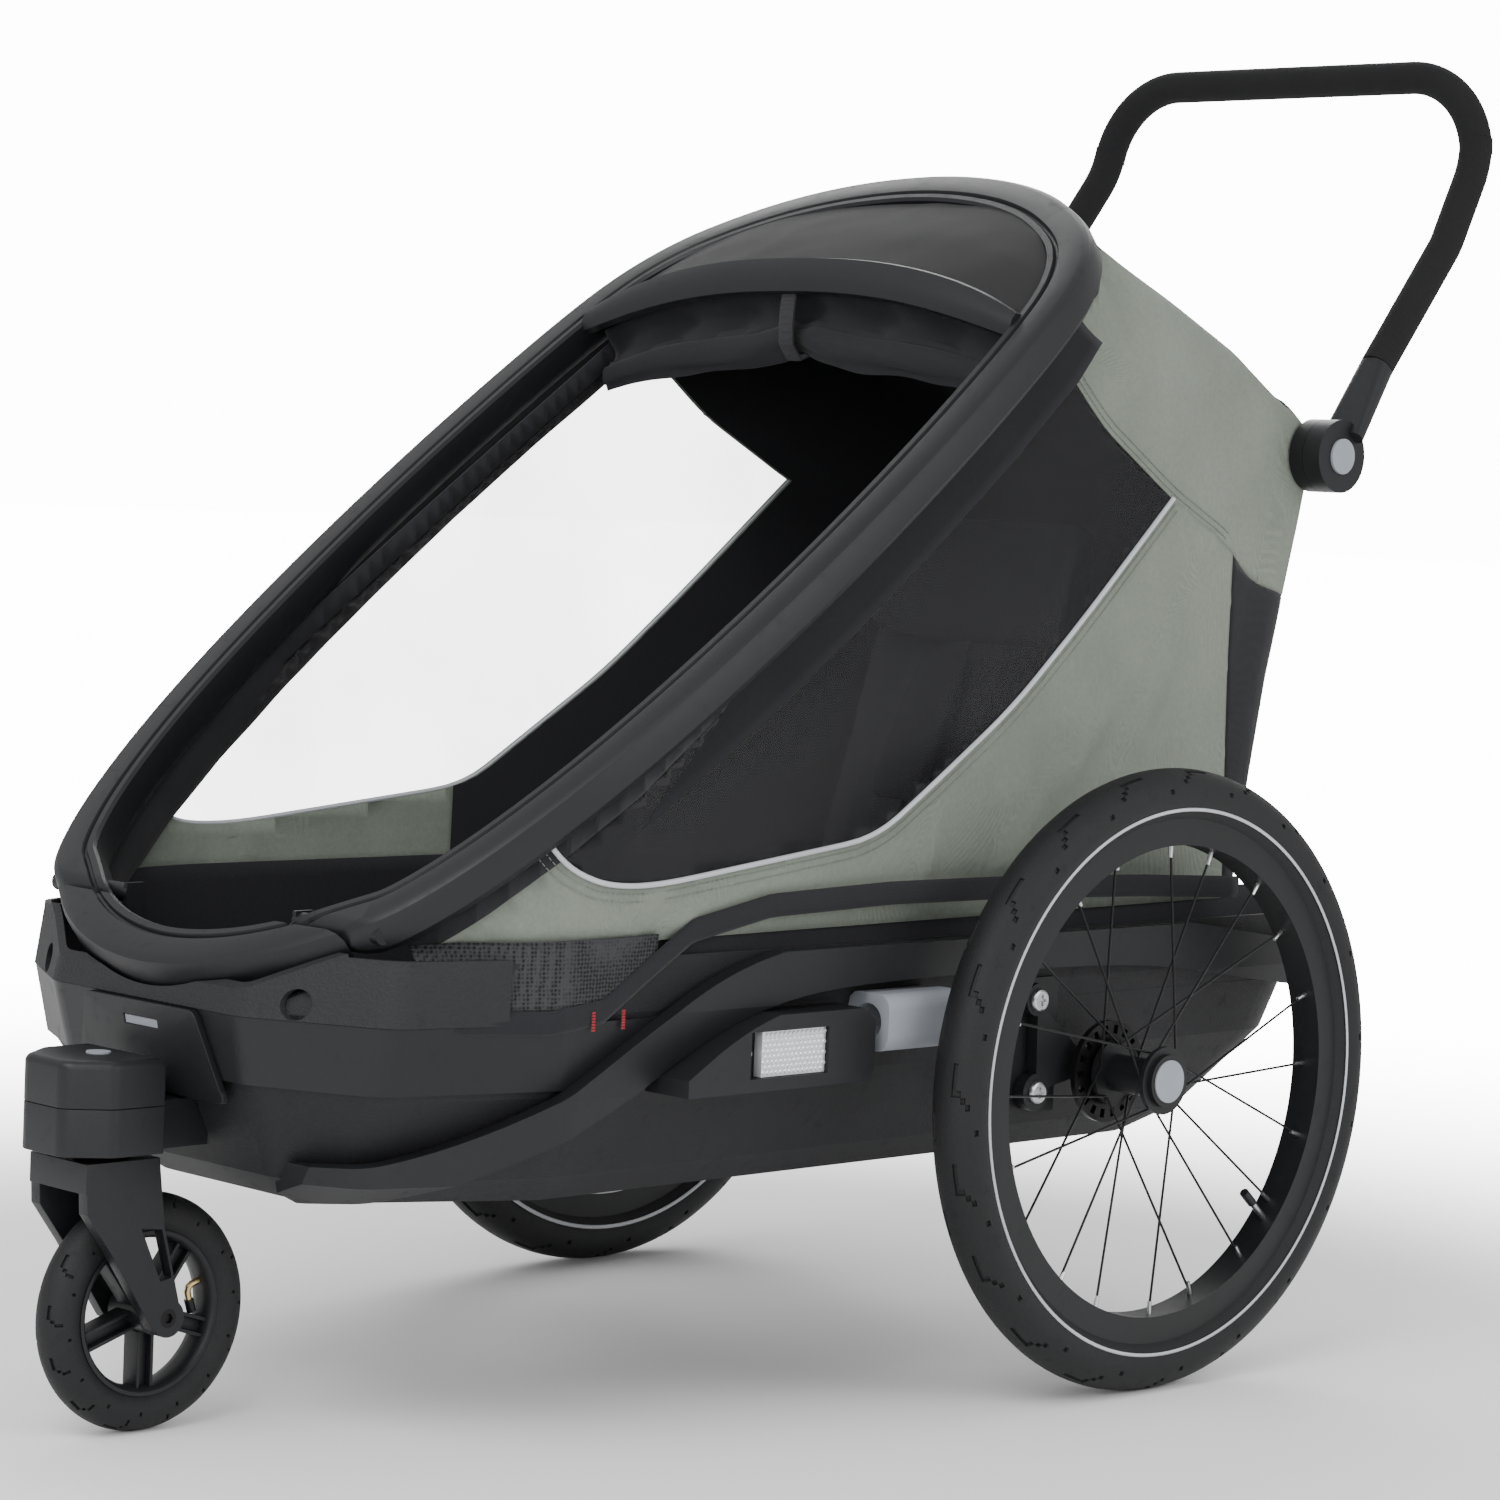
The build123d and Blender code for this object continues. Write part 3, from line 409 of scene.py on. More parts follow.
def rail_part(keep_rear):
    egg = HALF_EGG + [(-x, s) for x, s in reversed(HALF_EGG[1:-1])]
    bm = swept("rail", egg, RAIL, True)
    if keep_rear:
        for k in range(6):
            at = HOOP_T / 2 * (1 - k / 5.2)
            bmesh.ops.bisect_plane(bm, geom=whole(bm), plane_co=(0, -at, 0),
                                   plane_no=(0, -1, 0), clear_outer=k == 0)
        for vert in bm.verts:
            if vert.co.y < 0:
                vert.co.z *= sqrt(max(0.0, 1 - (vert.co.y / (HOOP_T / 2)) ** 2))
    else:
        bmesh.ops.bisect_plane(bm, geom=whole(bm), plane_co=(0, -0.0165, 0),
                               plane_no=(0, 1, 0), clear_outer=True)
    open_edges = [edge for edge in bm.edges if edge.is_boundary]
    bmesh.ops.holes_fill(bm, edges=open_edges)
    bmesh.ops.remove_doubles(bm, verts=bm.verts, dist=0.00002)
    bmesh.ops.recalc_face_normals(bm, faces=bm.faces)
    bm.transform(hoop_matrix)
    return bm


piece("hoop_rail", rail_part(True), satin_plastic, "hoop", "trim_plastic", ["hoop"])
piece("nose_cover", rail_part(False), satin_plastic, "chassis", "trim_plastic", ["front_cover"])

# ---------------------------------------------------------------- cabin cover
# Sewn from coated cloth: a top band, two side panels with clear film windows, and a mesh back. The
# whole skin is one curved sheet that is cut along the seams. Lines and outlines are (y, z) points,
# with y from the wheels' axle.
CABIN = [(0.374, 0.258, 0.222, 0.232), (0.560, 0.285, 0.216, 0.272), (0.735, 0.296, 0.212, 0.322),
         (0.990, 0.296, 0.212, 0.360)]
NOSE_LIMIT = [(-0.700, 0.203), (-0.642, 0.235), (-0.587, 0.256), (-0.520, 0.276), (-0.450, 0.300)]
ROOF = [(0.062, 0.908), (0.300, 0.782)]
CORNER_R = 0.040
ROOF_R = 0.030
FRONT_Y = -0.700
RIM_Z = 0.374
CABIN_MIDDLE = Vector((0, 0, 0.6))
LINER_GAP = 0.005


def between(table, at, column):
    for low, high in zip(table, table[1:]):
        if at <= high[0]:
            share = max(0.0, (at - low[0]) / (high[0] - low[0]))
            return low[column] + (high[column] - low[column]) * share
    return table[-1][column]


def roof_z(y):
    return ROOF[0][1] + (y - ROOF[0][0]) * (ROOF[1][1] - ROOF[0][1]) / (ROOF[1][0] - ROOF[0][0])


def wall_point(u, z):
    """Plan point of the skin at share u from the front, round the rear corner, to the middle of the back."""
    front, rear_half, rear = (between(CABIN, z, column) for column in (1, 2, 3))
    side_end = rear - CORNER_R
    lengths = (side_end - FRONT_Y, CORNER_R * pi / 2, rear_half - CORNER_R)
    at = u * sum(lengths)
    if at < lengths[0]:
        y = FRONT_Y + at
        share = (y - FRONT_Y) / (rear - 0.070 - FRONT_Y)
        return front + (rear_half - front) * min(1, share), y
    at -= lengths[0]
    if at < lengths[1]:
        turn = at / CORNER_R
        return rear_half - CORNER_R * (1 - cos(turn)), side_end + CORNER_R * sin(turn)
    at -= lengths[1]
    return max(0.0, rear_half - CORNER_R - at), rear


def skin_point(u, v):
    """Share v climbs the wall, turns over the roof's edge and runs in to the ridge."""
    climb, turn, run = 0.62, 0.70, 1.0
    x, y = wall_point(u, 0.8)
    top = roof_z(y)
    x, y = wall_point(u, top)
    inward = Vector((-x, 0)) if u < 0.80 else Vector((-x, min(0.0, 0.10 - y)))
    inward = inward.normalized() if inward.length > 1e-6 else Vector((0, -1))
    edge_r = ROOF_R + 0.050 * max(0.0, min(1.0, (0.20 - y) / 0.15))
    if v < climb:
        z = RIM_Z + (top - edge_r - RIM_Z) * v / climb
        x, y = wall_point(u, z)
        return Vector((x, y, z))
    if v < turn:
        a = (v - climb) / (turn - climb) * pi / 2
        place = Vector((x, y)) + inward * edge_r * (1 - cos(a))
        return Vector((max(0, place.x), place.y, roof_z(place.y) - edge_r * (1 - sin(a))))
    start = Vector((x, y)) + inward * edge_r
    end = Vector((0, min(start.y, 0.25)))
    place = start.lerp(end, (v - turn) / (run - turn))
    return Vector((max(0, place.x), place.y, roof_z(place.y)))


def settle(point):
    """Draws the skin in to the hoop near the hoop, and to the nose in front."""
    local = to_hoop @ (point + Vector((0, AXLE_Y, 0)))
    depth = -local.z
    near = max(0.0, min(1.0, (0.12 - depth) / 0.10))
    near = near * near * (3 - 2 * near)
    x = min(point.x, between(NOSE_LIMIT, point.y, 1))
    limit = max(0.05, egg_half(min(0.880, max(0.0, local.y))) - 0.016)
    x = x + (min(x, limit) - x) * near
    return Vector((x, point.y, point.z))


def skin():
    bm = bmesh.new()
    bmesh.ops.create_grid(bm, x_segments=110, y_segments=76, size=0.5)
    for vert in bm.verts:
        vert.co = settle(skin_point(vert.co.x + 0.5, vert.co.y + 0.5)) + Vector((0, AXLE_Y, 0))
    bmesh.ops.remove_doubles(bm, verts=bm.verts, dist=0.0002)
    bmesh.ops.bisect_plane(bm, geom=whole(bm),
                           plane_co=hoop_matrix @ Vector((0, 0, -HOOP_T / 2 - 0.0008)),
                           plane_no=hoop_matrix.to_3x3() @ Vector((0, 0, 1)), clear_outer=True)
    return bm


def seam_cut(bm, outline, shift=AXLE_Y):
    """Cuts the skin along an outline of (y, z) points."""
    for y, z in outline:
        bmesh.ops.bisect_plane(bm, geom=whole(bm), plane_co=(0, y + shift, 0),
                               plane_no=(0, 1, 0), dist=0.00005)
    for (y0, z0), (y1, z1) in zip(outline, outline[1:]):
        low, high = sorted((y0 + shift, y1 + shift))
        if high - low < 0.0005:
            continue
        near = [face for face in bm.faces if low <= face.calc_center_median().y <= high]
        geom = set(near)
        for face in near:
            geom.update(face.edges)
            geom.update(face.verts)
        bmesh.ops.bisect_plane(bm, geom=list(geom), plane_co=(0, y0 + shift, z0),
                               plane_no=Vector((0, -(z1 - z0), y1 - y0)).normalized(), dist=0.00005)


def inside(y, z, outline):
    """Whether a (y, z) point lies in a closed outline."""
    odd = False
    for (y0, z0), (y1, z1) in zip(outline, outline[1:] + outline[:1]):
        if (z0 > z) != (z1 > z) and y < (y1 - y0) * (z - z0) / (z1 - z0) + y0:
            odd = not odd
    return odd


def rounded(points, reach, steps=4):
    """An open line of points with each inner corner turned into a short arc."""
    line = [points[0]]
    for before, corner, after in zip(points, points[1:], points[2:]):
        a, c, b = Vector(before), Vector(corner), Vector(after)
        start = c + (a - c).normalized() * min(reach, (a - c).length * 0.45)
        end = c + (b - c).normalized() * min(reach, (b - c).length * 0.45)
        for k in range(steps + 1):
            t = k / steps
            line.append(tuple(start * (1 - t) ** 2 + c * 2 * t * (1 - t) + end * t ** 2))
    return line + [points[-1]]


BINDING = 0.017
BAND_EDGE = rounded([(-0.090, 0.842), (0.008, 0.761), (0.105, 0.707), (0.185, 0.672), (0.222, 0.640), (0.300, 0.622),
                     (0.420, 0.610)], 0.02)
window_low = rounded([(-0.586, 0.452), (-0.562, 0.428), (-0.531, 0.416), (-0.481, 0.415), (-0.247, 0.441),
                      (-0.194, 0.474), (-0.094, 0.538), (-0.007, 0.609), (0.106, 0.7075)], 0.035)
window_outline = window_low + [(0.008, 0.761), (-0.090, 0.842), (-0.300, 0.760), (-0.590, 0.530)]
REAR_SEAM = 0.196

cover = skin()
seam_cut(cover, BAND_EDGE)
seam_cut(cover, window_low)
bmesh.ops.bisect_plane(cover, geom=whole(cover), plane_co=(0, REAR_SEAM + AXLE_Y, 0), plane_no=(0, 1, 0))
bmesh.ops.bisect_plane(cover, geom=whole(cover),
                       plane_co=hoop_matrix @ Vector((0, 0, -HOOP_T / 2 - BINDING)),
                       plane_no=hoop_matrix.to_3x3() @ Vector((0, 0, 1)))
band_outline = BAND_EDGE + [(0.420, 1.2), (-0.500, 1.2), (-0.120, 0.867)]


def region(centre):
    """Which sewn part a point of the skin belongs to."""
    y, z = centre.y - AXLE_Y, centre.z
    if -(to_hoop @ centre).z < HOOP_T / 2 + BINDING:
        return "binding"
    if inside(y, z, band_outline):
        return "band"
    if inside(y, z, window_outline):
        return "window"
    return "rear" if y > REAR_SEAM else "side"


def part_of(source, wanted, mirrored):
    bm = source.copy()
    unwanted = [face for face in bm.faces if region(face.calc_center_median()) not in wanted]
    bmesh.ops.delete(bm, geom=unwanted, context="FACES")
    if mirrored == "both":
        twin = bmesh.ops.duplicate(bm, geom=whole(bm))["geom"]
        verts = [item for item in twin if isinstance(item, bmesh.types.BMVert)]
        bmesh.ops.scale(bm, vec=(-1, 1, 1), verts=verts)
        bmesh.ops.reverse_faces(bm, faces=[item for item in twin if isinstance(item, bmesh.types.BMFace)])
        bmesh.ops.remove_doubles(bm, verts=bm.verts, dist=0.0006)
    elif mirrored == "right":
        bmesh.ops.scale(bm, vec=(-1, 1, 1), verts=bm.verts)
    bmesh.ops.recalc_face_normals(bm, faces=bm.faces)
    outward = sum(face.normal.dot(face.calc_center_median() - CABIN_MIDDLE) * face.calc_area() for face in bm.faces)
    if outward < 0:
        bmesh.ops.reverse_faces(bm, faces=bm.faces)
    return bm


def ripple(bm, folds):
    """Slack in the cloth: soft folds that run down from the seams, and a little unevenness."""
    bm.normal_update()
    moves = {}
    for vert in bm.verts:
        if vert.is_boundary:
            continue
        at = vert.co
        height = noise.noise(Vector((at.x * 6, at.y * 7, at.z * 5))) * 0.0020
        for centre, direction, width, depth, reach in folds:
            offset = Vector((at.y - AXLE_Y - centre[0], at.z - centre[1]))
            along = offset.dot(Vector(direction))
            across = offset.dot(Vector((-direction[1], direction[0])))
            height += depth * exp(-(across / width) ** 2) * exp(-(along / reach) ** 2)
        moves[vert] = vert.normal * height
    for vert, move in moves.items():
        vert.co += move


SIDE_FOLDS = [((-0.06, 0.45), (0.7, 0.7), 0.010, 0.004, 0.07), ((0.02, 0.52), (0.6, 0.8), 0.009, 0.004, 0.06),
              ((-0.18, 0.425), (0.3, 0.95), 0.008, 0.003, 0.03), ((-0.50, 0.395), (0.85, 0.5), 0.006, 0.003, 0.06),
              ((-0.44, 0.392), (0.9, 0.4), 0.005, 0.0025, 0.05), ((0.10, 0.56), (0.5, 0.86), 0.012, 0.004, 0.08)]
BAND_FOLDS = [((0.15, 0.76), (0.9, -0.45), 0.014, 0.003, 0.10), ((0.05, 0.80), (0.85, -0.5), 0.012, 0.002, 0.08)]
film = bpy.data.materials.new("tinted film")

top = part_of(cover, ("band",), "both")
ripple(top, BAND_FOLDS)
canopy_cloth = piece("canopy_cloth", top, green_cloth, "chassis", "green_cloth", ["canopy"], 60, 0.0012)
rear = part_of(cover, ("rear",), "both")
ripple(rear, [])
back_cloth = piece("back_cloth", rear, dark_cloth, "chassis", "black_cloth", ["rear_mesh"], 60, 0.0012)
sheets = [canopy_cloth, back_cloth]
for side in ("left", "right"):
    panel = part_of(cover, ("side",), side)
    ripple(panel, SIDE_FOLDS)
    cloth = piece("side_cloth_" + side, panel, green_cloth, "chassis", "green_cloth", ["side_panel_" + side],
                  60, 0.0012)
    pane = piece("window_film_" + side, part_of(cover, ("window",), side), film, "chassis", "window_film",
                 ["side_window_" + side], 60, 0.0006)
    edge = piece("hoop_binding_" + side, part_of(cover, ("binding",), side), dark_cloth, "chassis", "black_cloth",
                 (), 60, 0.0022)
    sheets += [cloth, pane, edge]
for made in sheets:
    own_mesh(made)

film.use_nodes = True
film_shader = film.node_tree.nodes["Principled BSDF"]
film_place = film.node_tree.nodes.new("ShaderNodeTexCoord").outputs["Object"]
film_shader.inputs["Base Color"].default_value = (0.012, 0.012, 0.014, 1)
film_shader.inputs["Specular IOR Level"].default_value = 0.35
haze = noise_of(film.node_tree, film_place, 7.0, 3)
shades(film.node_tree, haze, [(0.3, grey(0.40)), (0.7, grey(0.46))], film_shader.inputs["Alpha"])
shades(film.node_tree, haze, [(0.3, grey(0.26)), (0.7, grey(0.34))], film_shader.inputs["Roughness"])


# ---------------------------------------------------------------- liner, mesh strip and edgings
# A black liner backs the top band. Along the hull a strip of coarse mesh closes the front, and a
# bound edge runs on under the side cloth. Grey piping follows the window's low edge.
def lined(side):
    bm = cover.copy()
    low_front = -0.26 + AXLE_Y
    unwanted = []
    for face in bm.faces:
        centre = face.calc_center_median()
        part = region(centre)
        if part in ("binding", "window") or (part == "side" and centre.y < low_front):
            unwanted.append(face)
    bmesh.ops.delete(bm, geom=unwanted, context="FACES")
    bmesh.ops.recalc_face_normals(bm, faces=bm.faces)
    bm.normal_update()
    outward = sum(face.normal.dot(face.calc_center_median() - CABIN_MIDDLE) for face in bm.faces)
    inset = -LINER_GAP if outward > 0 else LINER_GAP
    moves = [(vert, vert.normal * inset) for vert in bm.verts]
    for vert, move in moves:
        vert.co += move
    if side == "right":
        bmesh.ops.scale(bm, vec=(-1, 1, 1), verts=bm.verts)
        bmesh.ops.recalc_face_normals(bm, faces=bm.faces)
    return bm


HULL_SIDE = [(-0.745, 0.112), (-0.722, 0.165), (-0.700, 0.200), (-0.660, 0.222), (-0.569, 0.2475), (0.300, 0.2475)]


def wall_point_x(y, z):
    front, rear_half, rear = (between(CABIN, z, column) for column in (1, 2, 3))
    return front + (rear_half - front) * min(1, (y - FRONT_Y) / (rear - 0.070 - FRONT_Y))


def skin_x(y, z):
    """x of the settled side skin at (y, z)."""
    return settle(Vector((wall_point_x(y, z), y, z))).x


def cloth_low_x(y):
    return skin_x(y, RIM_Z)


def ladder(low, high, place, steps, rows):
    """A curved strip between two lines of (y, z) points, put at its x by place."""
    def along(line, t):
        at = t * (len(line) - 1)
        k = min(int(at), len(line) - 2)
        return Vector(line[k]).lerp(Vector(line[k + 1]), at - k)
    bm = bmesh.new()
    bmesh.ops.create_grid(bm, x_segments=steps, y_segments=rows, size=0.5)
    for vert in bm.verts:
        t, v = vert.co.x + 0.5, vert.co.y + 0.5
        at = along(low, t).lerp(along(high, t), v)
        vert.co = Vector((place(at.x, at.y, v), at.x + AXLE_Y, at.y))
    return bm


def mirrored_x(bm):
    bmesh.ops.scale(bm, vec=(-1, 1, 1), verts=bm.verts)
    bmesh.ops.reverse_faces(bm, faces=bm.faces)
    return bm


def pair(name, make, material, body, slot, replaces=(), **more):
    """The left piece and its mirror image."""
    made = []
    for side in ("left", "right"):
        bm = make()
        if side == "right":
            mirrored_x(bm)
        stands = [node + "_" + side for node in replaces]
        made.append(piece(name + "_" + side, bm, material, body.replace("SIDE", side), slot, stands, **more))
    return made


mesh_cloth, mesh_tree, mesh_shader, mesh_place = begin("coarse mesh", 0.7, 0.0, 0.3)
holes = mesh_tree.nodes.new("ShaderNodeTexVoronoi")
holes.inputs["Scale"].default_value = 330
holes.inputs["Randomness"].default_value = 0.25
mesh_tree.links.new(mesh_place, holes.inputs["Vector"])
shades(mesh_tree, holes.outputs["Distance"], [(0.2, grey(0.002)), (0.55, (0.035, 0.036, 0.040, 1))],
       mesh_shader.inputs["Base Color"])
raised(mesh_tree, mesh_shader, holes.outputs["Distance"], 0.0012)

MESH_LOW = [(-0.668, 0.336), (-0.655, 0.330), (-0.640, 0.326), (-0.560, 0.324), (-0.520, 0.332), (-0.478, 0.366)]
MESH_HIGH = [(-0.668, 0.374), (-0.655, 0.375), (-0.640, 0.3765), (-0.560, 0.378), (-0.520, 0.3785), (-0.478, 0.379)]
strip_x = lambda y, z, v: (between(HULL_SIDE, y, 1) * (1 - v) + cloth_low_x(y) * v) + 0.0035
EDGE_LINE = [(-0.664, 0.326), (-0.655, 0.323), (-0.640, 0.320), (-0.580, 0.318), (-0.530, 0.324), (-0.490, 0.350),
             (-0.443, 0.379), (-0.363, 0.394), (-0.235, 0.398), (-0.100, 0.397), (0.060, 0.392), (0.180, 0.386)]


def edge_x(y, z, v):
    return max(between(HULL_SIDE, y, 1), cloth_low_x(y) if z > 0.366 else 0) + 0.0045 + 0.0015 * sin(pi * v)


def raised_line(line, up):
    return [(y, z + up) for y, z in line]


strips = pair("mesh_strip", lambda: ladder(MESH_LOW, MESH_HIGH, strip_x, 60, 6), mesh_cloth, "chassis",
              "black_cloth", solid=0.001)
LINER_LOW = [(-0.640, 0.306), (0.340, 0.306)]
LINER_HIGH = [(-0.640, 0.384), (0.340, 0.384)]


def rim_liner_x(y, z, v):
    return (between(HULL_SIDE, y, 1) - 0.005) * (1 - v) + (cloth_low_x(y) - 0.004) * v


strips += pair("rim_liner", lambda: ladder(LINER_LOW, LINER_HIGH, rim_liner_x, 60, 6), dark_cloth, "chassis",
               "black_cloth", solid=0.001)
edge_low, edge_high = raised_line(EDGE_LINE, -0.008), raised_line(EDGE_LINE, 0.010)
ribbons = pair("low_edging", lambda: ladder(edge_low, edge_high, edge_x, 120, 4), dark_cloth, "chassis",
               "black_cloth", solid=0.0015)


def bead(line, out, radius, sides=8):
    """A round bead that lies on the side skin along a line of (y, z) points."""
    path = [(skin_x(y, z) + out, y + AXLE_Y, z) for y, z in line]
    return tube(path, radius, sides)


def tube(path, radius, sides=8):
    """A round rod along a list of points."""
    bm = bmesh.new()
    rings = []
    count = len(path)
    for k, at in enumerate(path):
        before, after = Vector(path[max(k - 1, 0)]), Vector(path[min(k + 1, count - 1)])
        turn = (after - before).to_track_quat("Z", "X").to_matrix().to_4x4()
        ring = bmesh.ops.create_circle(bm, segments=sides, radius=radius, matrix=Matrix.Translation(at) @ turn)
        rings.append(ring["verts"])
    for a, b in zip(rings, rings[1:]):
        start = min(range(sides), key=lambda j: (b[j].co - a[0].co).length)
        for k in range(sides):
            bm.faces.new((a[k], a[(k + 1) % sides], b[(start + k + 1) % sides], b[(start + k) % sides]))
    for ring in (rings[0], rings[-1]):
        bm.faces.new(ring)
    bmesh.ops.recalc_face_normals(bm, faces=bm.faces)
    return bm


def resample(points, count):
    """Evenly spaced points along a line."""
    lengths = [0.0]
    for a, b in zip(points, points[1:]):
        lengths.append(lengths[-1] + (b - a).length)
    out, k = [], 0
    for j in range(count):
        at = lengths[-1] * j / (count - 1)
        while k < len(points) - 2 and lengths[k + 1] < at:
            k += 1
        span = max(1e-9, lengths[k + 1] - lengths[k])
        out.append(points[k].lerp(points[k + 1], (at - lengths[k]) / span))
    return out


piping_line = [tuple(v) for v in resample([Vector(p) for p in window_low], 120)]
pipes = pair("window_piping", lambda: bead(piping_line, 0.0006, 0.0021), piping_cloth, "chassis", "grey_plastic")


def stitches(line, out, length=0.0032, gap=0.0016):
    """Single stitches laid along a line on the side skin."""
    bm = bmesh.new()
    points = [Vector((skin_x(y, z) + out, y + AXLE_Y, z)) for y, z in line]
    total = sum((b - a).length for a, b in zip(points, points[1:]))
    count = int(total / (length + gap))
    fine = resample(points, count * 2 + 1)
    for a, b in zip(fine[0::2], fine[1::2]):
        middle, along = (a + b) / 2, (b - a)
        turn = along.to_track_quat("X", "Z").to_matrix().to_4x4()
        bmesh.ops.create_cube(bm, size=1, matrix=Matrix.Translation(middle) @ turn
                              @ Matrix.Diagonal((length, 0.0007, 0.0006, 1)))
    return bm


def offset_line(line, distance):
    """A copy of a (y, z) line moved sideways, down where distance is positive."""
    moved = []
    for k, (y, z) in enumerate(line):
        a, b = Vector(line[max(k - 1, 0)]), Vector(line[min(k + 1, len(line) - 1)])
        along = (b - a).normalized()
        moved.append((y + along.y * distance, z - along.x * distance))
    return moved


band_line = [tuple(v) for v in resample([Vector(p) for p in BAND_EDGE if p[0] < 0.19], 60)]
seams = []
for label, line, away in (("window_stitch", piping_line, 0.006), ("window_stitch_low", piping_line, 0.012),
                          ("band_stitch", band_line, -0.004), ("band_stitch_high", band_line, -0.0095)):
    seams += pair(label, lambda: stitches(offset_line(line, away), 0.0006), thread, "chassis", "green_cloth")


def stitches_on_edge(y):
    """A short dense row of stitches across the low edging."""
    bm = bmesh.new()
    for k in range(7):
        z = 0.3125 + 0.0021 * k
        bmesh.ops.create_cube(bm, size=1, matrix=Matrix.Translation((edge_x(y, z, 0.5) + 0.0008, y + AXLE_Y, z))
                              @ Matrix.Diagonal((0.0008, 0.003, 0.0014, 1)))
    return bm


tacks = []
for k, y in enumerate((-0.541, -0.512)):
    tacks += pair("bartack_%d" % k, lambda: stitches_on_edge(y), red_thread, "chassis", "black_cloth")

liners = [piece("cover_liner_" + side, lined(side), dark_cloth, "chassis", "black_cloth", (), 60)
          for side in ("left", "right")]
for made in strips + ribbons + pipes + seams + tacks + liners:
    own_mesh(made)

# ---------------------------------------------------------------- sun shade, visor bow and rolled cover
# The bow carries the front edge of a cloth shade that runs back to the top of the hoop. The front cover is rolled up
# under the bow, and a strap holds it.
BOW_Y = joints["visor_tilt"]["pos_m"][1]
BOW_Z = joints["visor_tilt"]["pos_m"][2]
BOW_HALF = 0.249
BOW_RISE = 0.040


def bow_z(x):
    """Height of the bow's middle over the pins."""
    return BOW_Z + 0.006 + BOW_RISE * (1 - (abs(x) / BOW_HALF) ** 2.4)


bow_section = [(-0.004, -0.016), (0.003, -0.017), (0.0075, -0.008), (0.0085, 0.004), (0.007, 0.013), (0.002, 0.0165),
               (-0.003, 0.015), (-0.001, 0.004), (-0.002, -0.006)]


def lofted(bm, rings):
    """Joins rings of points into one closed skin."""
    count = len(rings[0])
    for a, b in zip(rings, rings[1:]):
        for j in range(count):
            bm.faces.new((a[j], a[(j + 1) % count], b[(j + 1) % count], b[j]))
    for ring in (rings[0], rings[-1]):
        bm.faces.new(ring)
    bmesh.ops.recalc_face_normals(bm, faces=bm.faces)
    return bm


def bow():
    bm = bmesh.new()
    rings = []
    lean = radians(32)
    for k in range(49):
        x = BOW_HALF * (k / 24 - 1)
        taper = 1 - 0.35 * abs(k / 24 - 1) ** 6
        ring = []
        for out, up in bow_section:
            forward = out * cos(lean) - up * taper * sin(lean) * 0.9
            rise = up * taper * cos(lean) + out * sin(lean)
            ring.append(bm.verts.new((x, BOW_Y - forward - 0.002, bow_z(x) + rise)))
        rings.append(ring)
    return lofted(bm, rings)


piece("visor_bow_shell", bow(), satin_plastic, "visor", "trim_plastic", ["visor_bow"], 40)


def shade():
    bm = bmesh.new()
    bmesh.ops.create_grid(bm, x_segments=48, y_segments=30, size=0.5)
    for vert in bm.verts:
        u, v = vert.co.x * 2, vert.co.y + 0.5
        s_low = (to_hoop @ Vector((0, BOW_Y, BOW_Z))).y + 0.012
        s = s_low + (0.9125 - s_low) * v
        half = max(0.02, egg_half(s) - 0.036)
        x = half * u
        seat = hoop_matrix @ Vector((x, s, 0.008))
        front = Vector((x, BOW_Y + 0.012, bow_z(x * 0.98) + 0.012))
        lift = (1 - v) ** 1.5
        fullness = 0.012 * sin(pi * v) * (1 - abs(u) ** 2.5)
        step = front.z - (hoop_matrix @ Vector((x, s_low, 0.008))).z
        unevenness = 0.0012 * noise.noise(Vector((x * 25, seat.y * 25, 0)))
        z = seat.z + step * lift * (1 - abs(u) ** 6) + fullness + unevenness
        vert.co = Vector((x, seat.y, z))
    return bm


shade_sheet = piece("shade_cloth_sheet", shade(), shade_cloth, "hoop", "black_cloth", ["sun_shade"], 60, 0.0014)


def rolled_cover():
    """A loose roll of cloth that hangs between the hoop's sides, pinched at the middle strap."""
    bm = bmesh.new()
    sides = 20
    rings = []
    for k in range(97):
        u = k / 48 - 1
        x = (BOW_HALF - 0.014) * u
        pinch = 1 - 0.35 * exp(-(u / 0.05) ** 2)
        radius = 0.0105 * pinch * (0.72 + 0.28 * (1 - abs(u) ** 3))
        middle = bow_z(x) - 0.050 - 0.010 * (1 - u * u) * (1 - exp(-(u / 0.2) ** 2))
        ring = []
        for j in range(sides):
            a = 2 * pi * j / sides
            crease = 1 + 0.16 * noise.noise(Vector((x * 14, cos(a) * 1.6, sin(a) * 1.6 + u * 3)))
            flat = 1.35 if cos(a) < 0 else 0.9
            ring.append(bm.verts.new((x, BOW_Y + 0.010 - radius * cos(a) * 0.9 * crease,
                                      middle + radius * sin(a) * flat * 1.25 * crease)))
        rings.append(ring)
    return lofted(bm, rings)


roll = piece("rolled_front_cover", rolled_cover(), dark_cloth, "visor", "black_cloth", (), 60)


def hanging():
    """The slack cloth between the bow and the roll."""
    bm = bmesh.new()
    bmesh.ops.create_grid(bm, x_segments=80, y_segments=12, size=0.5)
    for vert in bm.verts:
        u, v = vert.co.x * 2, vert.co.y + 0.5
        x = (BOW_HALF - 0.012) * u
        top, low = bow_z(x) - 0.010, bow_z(x) - 0.052
        wave = 0.004 * sin(u * 19 + 2.2 * v) * sin(pi * v) + 0.003 * noise.noise(Vector((u * 9, v * 3, 0)))
        vert.co = Vector((x, BOW_Y + 0.006 + 0.010 * sin(pi * v) + wave, top + (low - top) * v))
    return bm


slack = piece("cover_slack", hanging(), dark_cloth, "visor", "black_cloth", (), 60, 0.001)


